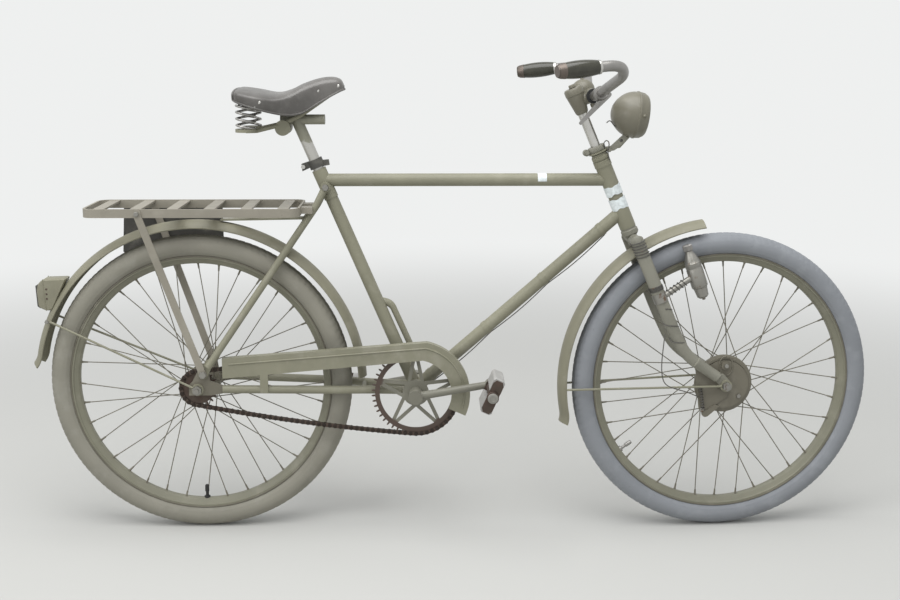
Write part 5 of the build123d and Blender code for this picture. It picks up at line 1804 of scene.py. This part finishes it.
@dataclass
class PedalCaps:
    """Turned caps on the outer ends of both pedals."""

    crank: float = 171.0
    crank_up: float = 10.0
    end_y: float = 199.0

    def build(self, bench: Bench) -> None:
        """Make one cap for each pedal.

        Args:
            bench: Where the pieces are made.
        """
        rise = math.radians(self.crank_up)
        reach = self.crank * np.array([math.cos(rise), 0.0, math.sin(rise)])
        middle = np.array([PLAN.bracket[0], 0.0, PLAN.bracket[1]])
        cap = ((0.0, -1.0), (11.5, -1.0), (11.5, 1.2), (10.0, 2.2), (6.0, 2.6), (5.5, 1.8), (0.0, 1.6))
        for side in Side:
            spot = middle - side.value * reach + (0.0, side.value * self.end_y, 0.0)
            name = side.name.lower()
            shell = Shell().add(turned(cap, spot, (0.0, side.value, 0.0), 24))
            bench.piece(name + "_pedal_cap", shell, "dull_steel", "pedal_" + name, "rusty_steel")


@dataclass
class Studio:
    """Floor, soft light and the camera at the photograph's place, in metres from the saddle."""

    eye: Point = (0.3339, -2.7885, 0.1248)
    target: Point = (0.3704, 0.0, -0.46575)
    lens: float = 50.0
    floor_drop: float = -1.003
    floor_size: float = 60.0
    floor_colour: Colour = (0.52, 0.52, 0.5)
    backdrop: Colour = (0.86, 0.87, 0.865)
    world_level: float = 0.66
    lamps: list[tuple[str, Point, float, float]] = field(default_factory=lambda: [
        ("overhead", (0.2, -0.9, 2.6), 3.2, 120.0),
        ("left_fill", (-3.0, -2.6, 1.4), 2.2, 45.0),
    ])

    def build(self) -> None:
        """Make the floor, world, lamps and camera."""
        self._floor()
        self._world()
        for name, spot, size, power in self.lamps:
            self._lamp(name, Vector(spot), size, power)
        self._camera()

    def _floor(self) -> None:
        """One wide sheet under the wheels that fades into the backdrop's colour away from them."""
        half = self.floor_size / 2
        corners = [(-half, -half, self.floor_drop), (half, -half, self.floor_drop),
                   (half, half, self.floor_drop), (-half, half, self.floor_drop)]
        mesh = bpy.data.meshes.new("floor")
        mesh.from_pydata(corners, [], [(0, 1, 2, 3)])
        floor = bpy.data.objects.new("floor", mesh)
        bpy.context.scene.collection.objects.link(floor)
        graph = Graph("floor_paper")
        graph.surface(Base_Color=self.floor_colour, Roughness=0.9, Specular_IOR_Level=0.1)
        away = graph.step(graph.far_from((self.target[0], 0.0, self.floor_drop)), 1.1, 4.2)
        rays = graph.add("LightPath")
        seen = graph.maths("MAXIMUM", rays.outputs["Is Camera Ray"], rays.outputs["Is Glossy Ray"])
        seen = graph.maths("MAXIMUM", seen, rays.outputs["Is Transmission Ray"])
        glow = graph.add("Emission", Color=(*self.backdrop, 1.0), Strength=1.0)
        blend = graph.add("MixShader")
        graph.feed(blend, 0, graph.maths("MULTIPLY", away, seen))
        graph.feed(blend, 1, graph.shader.outputs[0])
        graph.feed(blend, 2, glow.outputs[0])
        graph.feed(graph.tree.nodes["Material Output"], "Surface", blend.outputs[0])
        mesh.materials.append(graph.material)

    def _world(self) -> None:
        """Even grey light, seen in the backdrop's colour by the camera and in reflections."""
        world = bpy.data.worlds.new("studio")
        bpy.context.scene.world = world
        world.use_nodes = True
        tree = world.node_tree
        light = tree.nodes["Background"]
        light.inputs["Color"].default_value = (0.97, 0.985, 1.0, 1.0)
        light.inputs["Strength"].default_value = self.world_level
        shown = tree.nodes.new("ShaderNodeBackground")
        shown.inputs["Color"].default_value = (*self.backdrop, 1.0)
        rays = tree.nodes.new("ShaderNodeLightPath")
        last: Socket = rays.outputs["Is Camera Ray"]
        for name in ("Is Glossy Ray", "Is Transmission Ray"):
            wider = tree.nodes.new("ShaderNodeMath")
            wider.operation = "MAXIMUM"
            tree.links.new(last, wider.inputs[0])
            tree.links.new(rays.outputs[name], wider.inputs[1])
            last = wider.outputs[0]
        blend = tree.nodes.new("ShaderNodeMixShader")
        tree.links.new(last, blend.inputs[0])
        tree.links.new(light.outputs[0], blend.inputs[1])
        tree.links.new(shown.outputs[0], blend.inputs[2])
        tree.links.new(blend.outputs[0], tree.nodes["World Output"].inputs["Surface"])

    def _lamp(self, name: str, spot: Vector, size: float, power: float) -> None:
        """One square soft lamp that faces the bicycle's middle.

        Args:
            name: The lamp's name.
            spot: Its place.
            size: Its side in metres.
            power: Its power in watts.
        """
        data = bpy.data.lights.new(name, "AREA")
        data.size = size
        data.energy = power
        lamp = bpy.data.objects.new(name, data)
        lamp.location = spot
        lamp.rotation_euler = (Vector(self.target) - spot).to_track_quat("-Z", "Y").to_euler()
        bpy.context.scene.collection.objects.link(lamp)

    def _camera(self) -> None:
        """The camera at the photograph's place."""
        data = bpy.data.cameras.new("camera")
        data.sensor_width = 36.0
        data.lens = self.lens
        camera = bpy.data.objects.new("camera", data)
        camera.location = self.eye
        camera.rotation_euler = (Vector(self.target) - Vector(self.eye)).to_track_quat("-Z", "Y").to_euler()
        bpy.context.scene.collection.objects.link(camera)
        bpy.context.scene.camera = camera
        bpy.context.scene.view_settings.view_transform = "Standard"


def main() -> None:
    """Load the solids, dress them and add the fine pieces."""
    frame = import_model()
    finishes = Finishes()
    dressed = finishes.dress(frame["nodes"])
    bench = Bench(finishes)
    Studio().build()
    front = (Flange(64.5, -30.0, 40.0), Flange(33.5, 29.0, 60.0))
    rear = (Flange(32.5, -29.0, 60.0), Flange(34.5, 29.0, 60.0))
    groups = (
        Wheel("front", PLAN.front_axle, front, 215.0, "front_rubber", "bar_steel"),
        Wheel("rear", PLAN.rear_axle, rear, -90.0, "rear_rubber", "washer_rubber"),
        Mudguard("rear_mudguard", "frame", PLAN.rear_axle, 2.5, 169.0),
        Mudguard("front_mudguard", "steering", PLAN.front_axle, 98.0, 190.0),
        Fork(), Bars(), HeadLamp(), TailLamp(), Dynamo(), Drum(), Saddle(),
        FrameFittings(), Wires(), ChainDress(), PedalCaps(),
    )
    for group in groups:
        group.build(bench)
    LOG.info("solids dressed: %d, pieces added: %d", dressed, bench.made)


if __name__ == "__main__":
    main()
